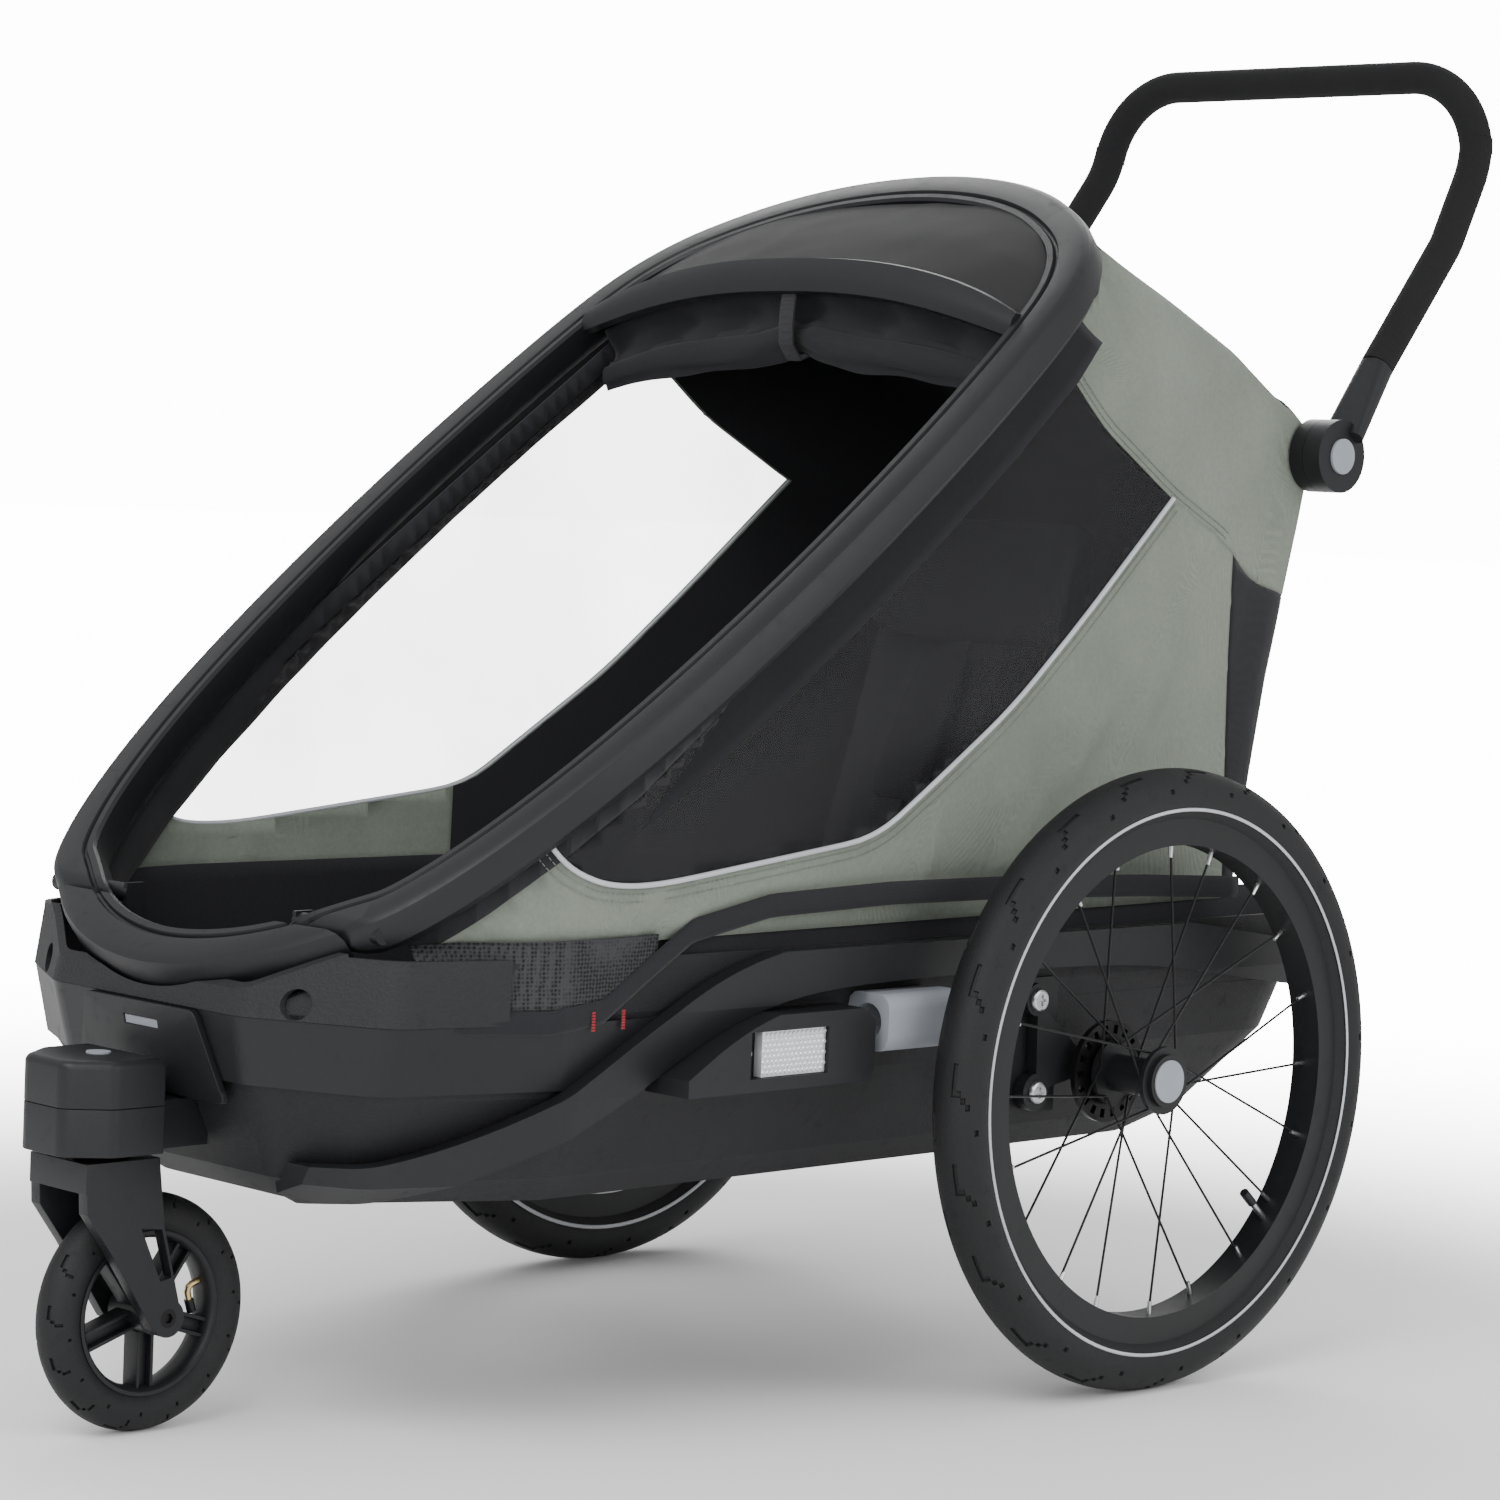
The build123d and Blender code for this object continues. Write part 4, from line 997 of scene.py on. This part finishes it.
def flat_strap(path, width, thickness, across=(1, 0, 0)):
    """Webbing along a list of points, with its width across."""
    bm = bmesh.new()
    wide = Vector(across).normalized()
    rings = []
    for k, at in enumerate(path):
        before, after = Vector(path[max(k - 1, 0)]), Vector(path[min(k + 1, len(path) - 1)])
        out = wide.cross(after - before).normalized()
        corners = [(-0.5, -0.5), (-0.35, -0.62), (0.35, -0.62), (0.5, -0.5), (0.5, 0.5), (0.35, 0.62), (-0.35, 0.62),
                   (-0.5, 0.5)]
        rings.append([bm.verts.new(Vector(at) + wide * width * w + out * thickness * t) for w, t in corners])
    return lofted(bm, rings)


top_of_bow = bow_z(0)
strap_path = [(0, BOW_Y - 0.006, top_of_bow - 0.012), (0, BOW_Y - 0.008, top_of_bow - 0.026),
              (0, BOW_Y - 0.009, top_of_bow - 0.040), (0, BOW_Y - 0.008, top_of_bow - 0.056),
              (0, BOW_Y + 0.002, top_of_bow - 0.068), (0, BOW_Y + 0.018, top_of_bow - 0.062)]
piece("roll_strap", flat_strap(strap_path, 0.016, 0.002), webbing, "visor", "black_cloth", (), 50)


def flap(side):
    """The dark edging inside the rail, where the front cover is buttoned on."""
    low_s, high_s, count = 0.02, 0.80, 70
    bm = bmesh.new()
    bmesh.ops.create_grid(bm, x_segments=count, y_segments=6, size=0.5)
    for vert in bm.verts:
        u, v = vert.co.x + 0.5, vert.co.y + 0.5
        s = low_s + (high_s - low_s) * u
        x = egg_half(s) - 0.034 - 0.004 * sin(pi * v) + 0.016 * v
        local = Vector((x, s, -HOOP_T / 2 - 0.001 - 0.040 * v))
        wave = 0.0016 * noise.noise(Vector((s * 18, v * 2, 3.0)))
        vert.co = hoop_matrix @ (local + Vector((wave, 0, 0)))
    if side == "right":
        mirrored_x(bm)
    return bm


for side in ("left", "right"):
    piece("rail_edging_" + side, flap(side), dark_cloth, "hoop", "black_cloth", (), 60, 0.0016)

# ---------------------------------------------------------------- tyres
# Slick 20-inch tyres with thin angled cuts on both shoulders and a grey reflective line on each wall.
def spun(bm, geom, centre, steps):
    """Turns a section once round a wheel's axle."""
    bmesh.ops.spin(bm, geom=geom, cent=centre, axis=(1, 0, 0), angle=2 * pi, steps=steps, use_merge=True)


def tread(name, side_x, centre, outer, thick, wide, body, node, repeats, steps, rows=30):
    """A tyre that stands in for a node, with thin cuts in its shoulders."""
    bm = bmesh.new()
    radius = outer - thick
    span = radians(150)
    ring = []
    for k in range(rows + 1):
        a = -span + 2 * span * k / rows
        flatter = 1 - 0.03 * cos(a)
        height = radius + thick * cos(a) * flatter + thick * 0.03
        ring.append(bm.verts.new((side_x + wide * sin(a), centre[0], centre[1] + height)))
    edges = [bm.edges.new((a, b)) for a, b in zip(ring, ring[1:])]
    spun(bm, ring + edges, (side_x, *centre), steps)
    bmesh.ops.recalc_face_normals(bm, faces=bm.faces)
    row_angle = 2 * span / rows
    cuts = []
    for face in bm.faces:
        at = face.calc_center_median()
        theta = (atan2(at.z - centre[1], at.y - centre[0]) / (2 * pi)) % 1.0
        reach = sqrt((at.y - centre[0]) ** 2 + (at.z - centre[1]) ** 2) - radius
        a = atan2(at.x - side_x, reach)
        row = int(abs(a) / row_angle)
        phase = (theta * repeats + (0.5 if a > 0 else 0.0)) % 1.0
        if row == 2 and 0.10 < phase < 0.42:
            cuts.append(face)
        elif 3 <= row <= 5 and abs(phase - 0.42 - 0.05 * (row - 3)) < 0.5 * repeats / steps:
            cuts.append(face)
        elif row == 7 and abs(phase - 0.80) < 0.5 * repeats / steps:
            cuts.append(face)
    bmesh.ops.inset_region(bm, faces=cuts, thickness=0.0006, depth=-0.0020, use_even_offset=True)
    return piece(name, bm, rubber, body, "tyre", [node], 50)


def wall_line(name, side_x, centre, radius, height, out, body, sign):
    """The thin reflective line on a tyre's wall."""
    bm = bmesh.new()
    points = [(side_x + sign * out, radius - height / 2), (side_x + sign * (out + 0.0006), radius),
              (side_x + sign * out, radius + height / 2)]
    ring = [bm.verts.new((x, centre[0], centre[1] + r)) for x, r in points]
    edges = [bm.edges.new((a, b)) for a, b in zip(ring, ring[1:])]
    spun(bm, ring + edges, (side_x, *centre), 160)
    bmesh.ops.recalc_face_normals(bm, faces=bm.faces)
    return piece(name, bm, piping_cloth, body, "tyre", (), 60, 0.0008)


WHEEL_R, TYRE_R, TRACK_HALF = 0.248, 0.022, 0.326
SPOKES = 20
for side, sign in (("left", 1), ("right", -1)):
    centre = (AXLE_Y, WHEEL_R)
    tread("road_tyre_" + side, sign * TRACK_HALF, centre, WHEEL_R, TYRE_R, TYRE_R, "wheel_" + side,
          "tyre_" + side, 20, 300)
    for face, at in (("outer", 1), ("inner", -1)):
        wall_line("tyre_line_%s_%s" % (face, side), sign * TRACK_HALF, centre, WHEEL_R - 1.42 * TYRE_R, 0.0028,
                  TYRE_R * 0.935, "wheel_" + side, sign * at)
    nipples = bmesh.new()
    for k in range(SPOKES):
        turn = 2 * pi * k / SPOKES
        lean = 1 if k % 2 else -1
        rim_in = WHEEL_R - 2 * TYRE_R + 0.001 - 0.017
        middle = Vector((sign * (TRACK_HALF + lean * 0.0035), AXLE_Y + (rim_in - 0.005) * cos(turn),
                         WHEEL_R + (rim_in - 0.005) * sin(turn)))
        outward = Vector((0, cos(turn), sin(turn))).to_track_quat("Z", "X").to_matrix().to_4x4()
        bmesh.ops.create_cone(nipples, cap_ends=True, segments=8, radius1=0.0016, radius2=0.0021, depth=0.011,
                              matrix=Matrix.Translation(middle) @ outward)
    piece("spoke_nipples_" + side, nipples, zinc, "wheel_" + side, "steel")

# ---------------------------------------------------------------- seat, headrest and harness
# The seat is two sewn pads with a headrest that wraps round the child's head. Each starts as a
# rounded form a little too small and is swelled by a cloth simulation, then its channels are pressed in.
def pillow(centre, right, up, halves, power=5, cuts=10):
    """A closed crowned form. halves are its half width, half height and half thickness."""
    bm = bmesh.new()
    bmesh.ops.create_cube(bm, size=2)
    bmesh.ops.subdivide_edges(bm, edges=bm.edges, cuts=cuts, use_grid_fill=True)
    right, up = Vector(right).normalized(), Vector(up).normalized()
    out = right.cross(up)
    for vert in bm.verts:
        u, v, w = vert.co
        pull = (abs(u) ** power + abs(v) ** power + abs(w) ** power) ** (-1 / power)
        vert.co = (Vector(centre) + right * halves[0] * u * pull + up * halves[1] * v * pull
                   + out * halves[2] * w * pull)
    return bm


def swelled(bm, cap, voxel=0.006):
    """Swells a closed form like a stuffed pad. No point moves by more than cap."""
    data = bpy.data.meshes.new("pad")
    bm.to_mesh(data)
    bm.free()
    pad = bpy.data.objects.new("pad", data)
    bpy.context.scene.collection.objects.link(pad)
    even = pad.modifiers.new("even", "REMESH")
    even.mode = "VOXEL"
    even.voxel_size = voxel
    bpy.context.view_layer.update()
    start = bpy.data.meshes.new_from_object(pad.evaluated_get(bpy.context.evaluated_depsgraph_get()))
    pad.modifiers.remove(even)
    pad.data = start
    rest = [vert.co.copy() for vert in start.vertices]
    grown = rest
    cloth = pad.modifiers.new("cloth", "CLOTH")
    cloth.settings.use_pressure = True
    cloth.settings.uniform_pressure_force = 4
    cloth.settings.effector_weights.gravity = 0
    for step in range(1, 21):
        bpy.context.scene.frame_set(step)
    puffed = pad.evaluated_get(bpy.context.evaluated_depsgraph_get()).data
    grown = [vert.co.copy() for vert in puffed.vertices]
    bpy.context.scene.frame_set(1)
    made = bmesh.new()
    made.from_mesh(start)
    for vert, a, b in zip(made.verts, rest, grown):
        move = b - a
        vert.co = a + (move if move.length <= cap else move.normalized() * cap)
    bmesh.ops.smooth_vert(made, verts=made.verts, factor=0.5, use_axis_x=True, use_axis_y=True, use_axis_z=True)
    bpy.data.objects.remove(pad)
    return made


LEAN = Vector((0, 0.32, 1)).normalized()
BACK_FOOT = Vector((0, 0.090 + AXLE_Y, 0.306))
ACROSS = Vector((1, 0, 0))


def back_point(x, up, out):
    """A point on the back's front face: up along its lean, and out towards the nose."""
    return BACK_FOOT + ACROSS * x + LEAN * up + Vector((0, -LEAN.z, LEAN.y)) * out


def channel(bm, spots, depth, width):
    """Presses sewn lines in. Each spot gives the distance of a point from one line."""
    bm.normal_update()
    moves = []
    for vert in bm.verts:
        near = sum(exp(-(spot(vert.co) / width) ** 2) for spot in spots)
        moves.append((vert, vert.normal * -depth * near))
    for vert, move in moves:
        vert.co += move


def seat_pad():
    bm = swelled(pillow((0, -0.093 + AXLE_Y, 0.2765), (1, 0, 0), (0, 1, 0), (0.158, 0.228, 0.019), 7, 14), 0.005)
    seams_y = (-0.245, -0.165, -0.085, -0.005)
    channel(bm, [lambda at, y=y: at.y - AXLE_Y - y if at.z > 0.285 else 1.0 for y in seams_y], 0.0035, 0.006)
    return bm


def back_pad():
    bm = swelled(pillow(back_point(0, 0.190, 0.002), ACROSS, LEAN, (0.150, 0.182, 0.016), 6, 14), 0.006)
    for vert in bm.verts:
        side = abs(vert.co.x) / 0.156
        vert.co.y -= 0.030 * side ** 3
    channel(bm, [lambda at, x=x: abs(at.x) - x for x in (0.052, 0.105)], 0.003, 0.005)
    return bm


def headrest():
    bm = swelled(pillow(back_point(0, 0.330, 0.022), ACROSS, LEAN, (0.128, 0.062, 0.013), 4, 14), 0.005)
    for vert in bm.verts:
        side = min(1.0, abs(vert.co.x) / 0.133)
        vert.co.y -= 0.075 * side ** 2.5
        vert.co.x *= 1 - 0.06 * side ** 2
    return bm


pads = []
for name, bm, stands in (("seat_cushion", seat_pad(), ["seat_base"]), ("seat_back_pad", back_pad(), ["seat_back"]),
                         ("headrest_pad", headrest(), [])):
    pad = piece(name, bm, soft_cloth, "chassis", "black_cloth", stands, 180)
    if name != "seat_cushion":
        pads.append(pad)


def strap_path_of(side):
    points = [back_point(side * 0.040, 0.300, 0.022), back_point(side * 0.046, 0.240, 0.036),
              back_point(side * 0.056, 0.160, 0.046), back_point(side * 0.046, 0.090, 0.060),
              back_point(side * 0.020, 0.052, 0.090)]
    return resample([Vector(p) for p in points], 40)


def harness_pad(side):
    low, high = back_point(side * 0.054, 0.120, 0.052), back_point(side * 0.046, 0.262, 0.034)
    up = (high - low).normalized()
    across = (ACROSS - up * ACROSS.dot(up)).normalized()
    return pillow((low + high) / 2, across, up, (0.029, (high - low).length / 2, 0.006), 5, 8)


for label, side in (("left", 1), ("right", -1)):
    pad = piece("harness_pad_" + label, harness_pad(side), dark_cloth, "chassis", "black_cloth", (), 180)
    strap = piece("shoulder_strap_" + label, flat_strap(strap_path_of(side), 0.024, 0.0016), webbing, "chassis",
                  "black_cloth", (), 50)
    lap_path = [back_point(side * t, 0.030 + 0.01 * sin(t * 20), 0.085 - 2.2 * (t - 0.02) ** 2 * 1.4) for t in
                (0.02, 0.045, 0.07, 0.095, 0.12)]
    lap = piece("lap_strap_" + label, flat_strap(resample(lap_path, 24), 0.024, 0.0016, LEAN), webbing, "chassis",
                "black_cloth", (), 50)
    pads += [pad, strap, lap]
buckle = pillow(back_point(0, 0.040, 0.090), ACROSS, LEAN, (0.022, 0.026, 0.008), 6, 6)
pads.append(piece("harness_buckle", buckle, satin_plastic, "chassis", "trim_plastic", (), 60))
crotch = [back_point(0, 0.016, 0.088), back_point(0, 0.004, 0.092), back_point(0, -0.006, 0.100)]
pads.append(piece("crotch_strap", flat_strap(resample(crotch, 8), 0.024, 0.0016), webbing, "chassis",
                  "black_cloth", (), 50))
for pad in pads:
    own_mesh(pad)

# ---------------------------------------------------------------- screws, reflectors and valves
def screw_head(bm, at, radius, height, outline, depth, sign=1):
    """A domed head that faces sideways, with a recess of the given (y, z) outline."""
    def place(x, y, z):
        return Vector((at[0] + sign * x, at[1] + y, at[2] + z))
    sides = 32
    rings = []
    for share, x in ((1.0, 0.0), (1.0, 0.5 * height), (0.93, 0.8 * height), (0.78, height)):
        turns = [2 * pi * k / sides for k in range(sides)]
        rings.append([bm.verts.new(place(x, radius * share * cos(a), radius * share * sin(a))) for a in turns])
    for a, b in zip(rings, rings[1:]):
        for k in range(sides):
            bm.faces.new((a[k], a[(k + 1) % sides], b[(k + 1) % sides], b[k]))
    rim = [bm.verts.new(place(height, y * radius, z * radius)) for y, z in outline]
    deep = [bm.verts.new(place(height - depth, y * radius, z * radius)) for y, z in outline]
    count = len(outline)
    around = [bm.edges.new((rim[k], rim[(k + 1) % count])) for k in range(count)]
    outer = [bm.edges.get((rings[-1][k], rings[-1][(k + 1) % sides])) for k in range(sides)]
    bmesh.ops.triangle_fill(bm, edges=around + outer, use_beauty=True)
    for k in range(count):
        bm.faces.new((rim[k], rim[(k + 1) % count], deep[(k + 1) % count], deep[k]))
    bm.faces.new(deep)
    bm.faces.new(rings[0])


CROSS = [(0.14, 0.14), (0.14, 0.5), (-0.14, 0.5), (-0.14, 0.14), (-0.5, 0.14), (-0.5, -0.14), (-0.14, -0.14),
         (-0.14, -0.5), (0.14, -0.5), (0.14, -0.14), (0.5, -0.14), (0.5, 0.14)]
SLOT_CUT = [(0.62, 0.12), (-0.62, 0.12), (-0.62, -0.12), (0.62, -0.12)]
HEX_CUT = [(0.45 * cos(pi * k / 3), 0.45 * sin(pi * k / 3)) for k in range(6)]


def heads(name, places, radius, height, outline, depth, material, body, replaces=(), shaft=None):
    bm = bmesh.new()
    for x, y, z in places:
        for sign in (1, -1):
            screw_head(bm, (sign * x, y + AXLE_Y, z), radius, height, outline, depth, sign)
            if shaft:
                r, length = shaft
                middle = Matrix.Translation((sign * (x - length / 2), y + AXLE_Y, z))
                bmesh.ops.create_cone(bm, cap_ends=True, segments=24, radius1=r, radius2=r, depth=length,
                                      matrix=middle @ Matrix.Rotation(pi / 2, 4, "Y"))
    bmesh.ops.recalc_face_normals(bm, faces=bm.faces)
    return piece(name, bm, material, body, "steel", replaces, 30)


heads("suspension_bolt_heads", [(0.2613, -0.070, 0.234), (0.2613, -0.072, 0.308)], 0.009, 0.0042, CROSS,
      0.0022, zinc, "chassis", ["suspension_bolts"], (0.0045, 0.0113))
heads("fork_axle_bolts", [(0.0311, -0.746, 0.088)], 0.0088, 0.0040, HEX_CUT, 0.0025, black_metal, "fork",
      ["fork_axle"], (0.0038, 0.0311))
heads("crown_bolts", [(0.0311, -0.800, 0.198)], 0.0042, 0.0022, HEX_CUT, 0.0015, zinc, "fork")
heads("reflector_slot_screws", [(0.2748, -0.405, 0.289)], 0.0033, 0.0020, SLOT_CUT, 0.0010, zinc, "chassis",
      ["reflector_screws"])

lens = bmesh.new()
for sign in (1, -1):
    bmesh.ops.create_cube(lens, size=1, matrix=Matrix.Translation((sign * 0.2785, -0.365 + AXLE_Y, 0.289))
                          @ Matrix.Diagonal((0.008, 0.066, 0.034, 1)))
    for row in range(8):
        for column in range(14):
            y = -0.3955 + 0.0046 * column + (0.0023 if row % 2 else 0)
            at = Matrix.Translation((sign * 0.28285, y + AXLE_Y, 0.2752 + 0.00395 * row))
            turn = Matrix.Rotation(pi / 2, 4, "Y") @ (Matrix() if sign > 0 else Matrix.Rotation(pi, 4, "X"))
            bmesh.ops.create_cone(lens, cap_ends=True, segments=6, radius1=0.0023, radius2=0.0016,
                                  depth=0.0009, matrix=at @ turn)
bmesh.ops.recalc_face_normals(lens, faces=lens.faces)
mirror_plastic = moulded("reflector plastic", (0.62, 0.64, 0.66), 0.18, 900.0, 0.0001, 0.35)
piece("reflector_lenses", lens, mirror_plastic, "chassis", "reflector", ["reflectors"], 20)

for side, sign in (("left", 1), ("right", -1)):
    aim = Vector((0, cos(radians(-41)), sin(radians(-41))))
    foot = Vector((sign * TRACK_HALF, AXLE_Y, WHEEL_R)) + aim * (WHEEL_R - 2 * TYRE_R + 0.001 - 0.0165)
    stem = [foot - aim * t for t in (0, 0.010, 0.020)]
    cap = [foot - aim * t for t in (0.0195, 0.021, 0.033, 0.0345)]
    piece("valve_stem_" + side, tube(stem, 0.0028, 12), zinc, "wheel_" + side, "steel")
    piece("valve_cap_" + side, tube(cap, 0.0038, 12), satin_plastic, "wheel_" + side, "trim_plastic")

# ---------------------------------------------------------------- stroller wheel
# A small tyre with cut shoulders on a moulded rim whose five spokes are pairs of ribs, and a bent
# brass valve with a black cap.
NOSE_WHEEL = Vector((0, -0.746 + AXLE_Y, 0.088))
tread("stroller_tyre", 0, NOSE_WHEEL.yz, 0.088, 0.016, 0.016, "front_wheel", "front_tyre", 14, 210, 26)
rim = bmesh.new()
RIM_SECTION = [(0.0122, 0.0609), (0.0122, 0.0580), (0.0105, 0.0560), (0.0040, 0.0545), (-0.0040, 0.0545),
               (-0.0105, 0.0560), (-0.0122, 0.0580), (-0.0122, 0.0609)]
HUB_SECTION = [(0.0215, 0.0050), (0.0215, 0.0120), (0.0195, 0.0145), (-0.0195, 0.0145), (-0.0215, 0.0120),
               (-0.0215, 0.0050)]
for outline in (RIM_SECTION, HUB_SECTION):
    ring = [rim.verts.new((x, NOSE_WHEEL.y, NOSE_WHEEL.z + r)) for x, r in outline]
    loop = [rim.edges.new((a, b)) for a, b in zip(ring, ring[1:] + ring[:1])]
    spun(rim, ring + loop, NOSE_WHEEL, 96)
for k in range(5):
    turn = Matrix.Translation(NOSE_WHEEL) @ Matrix.Rotation(pi + 2 * pi * k / 5, 4, "X")
    for off, thick, deep in ((-0.0060, 0.0028, 0.017), (0.0060, 0.0028, 0.017), (0.0, 0.0092, 0.006)):
        made = bmesh.ops.create_cube(rim, size=1, matrix=turn @ Matrix.Translation((0, off, 0.0345))
                                     @ Matrix.Diagonal((deep, thick, 0.0425, 1)))["verts"]
        edges = {edge for vert in made for edge in vert.link_edges}
        bmesh.ops.bevel(rim, geom=list(edges), offset=0.0007, segments=2, profile=0.6, affect="EDGES")
bmesh.ops.recalc_face_normals(rim, faces=rim.faces)
piece("stroller_rim", rim, satin_plastic, "front_wheel", "trim_plastic", ["front_rim"], 40)
aim = Vector((0, 0.951, 0.309))
side_way = Vector((0, 0.309, -0.951))
foot = NOSE_WHEEL + aim * 0.0545
bend = [foot, foot - aim * 0.006, foot - aim * 0.0095 + side_way * 0.0012, foot - aim * 0.0112 + side_way * 0.0045,
        foot - aim * 0.0116 + side_way * 0.0110]
piece("stroller_valve", tube(bend, 0.0026, 14), brass, "front_wheel", "brass", ["front_valve"])
cap = [bend[-1] + side_way * t for t in (-0.001, 0.0005, 0.008, 0.0088)]
piece("stroller_valve_cap", tube(cap, 0.0036, 14), satin_plastic, "front_wheel", "trim_plastic")

# ---------------------------------------------------------------- moulded shells with rounded edges
def softened(name, node, width, material, body, slot, limit=30):
    """A moulded part with its hard edges rounded over."""
    bm = bmesh.new()
    bm.from_mesh(nodes[node].data)
    bm.transform(nodes[node].matrix_world)
    bmesh.ops.remove_doubles(bm, verts=bm.verts, dist=0.00002)
    bmesh.ops.dissolve_limit(bm, angle_limit=radians(2), verts=bm.verts, edges=bm.edges)
    hard = [edge for edge in bm.edges if len(edge.link_faces) == 2 and edge.calc_face_angle(0) > radians(limit)]
    bmesh.ops.bevel(bm, geom=hard, offset=width, segments=3, profile=0.6, affect="EDGES", clamp_overlap=True)
    bmesh.ops.triangulate(bm, faces=[face for face in bm.faces if len(face.verts) > 4])
    return piece(name, bm, material, body, slot, [node], 30)


SHELLS = (("fork_shell", "fork", 0.0018, "fork"), ("pod_top_shell", "pod_cover", 0.0030, "chassis"),
          ("pod_low_shell", "pod_base", 0.0022, "chassis"), ("latch_panel_shell", "latch_panel", 0.0008, "chassis"),
          ("reflector_shell_left", "reflector_pod_left", 0.0015, "chassis"),
          ("reflector_shell_right", "reflector_pod_right", 0.0015, "chassis"))
for name, node, width, body in SHELLS:
    softened(name, node, width, satin_plastic, body, "trim_plastic")
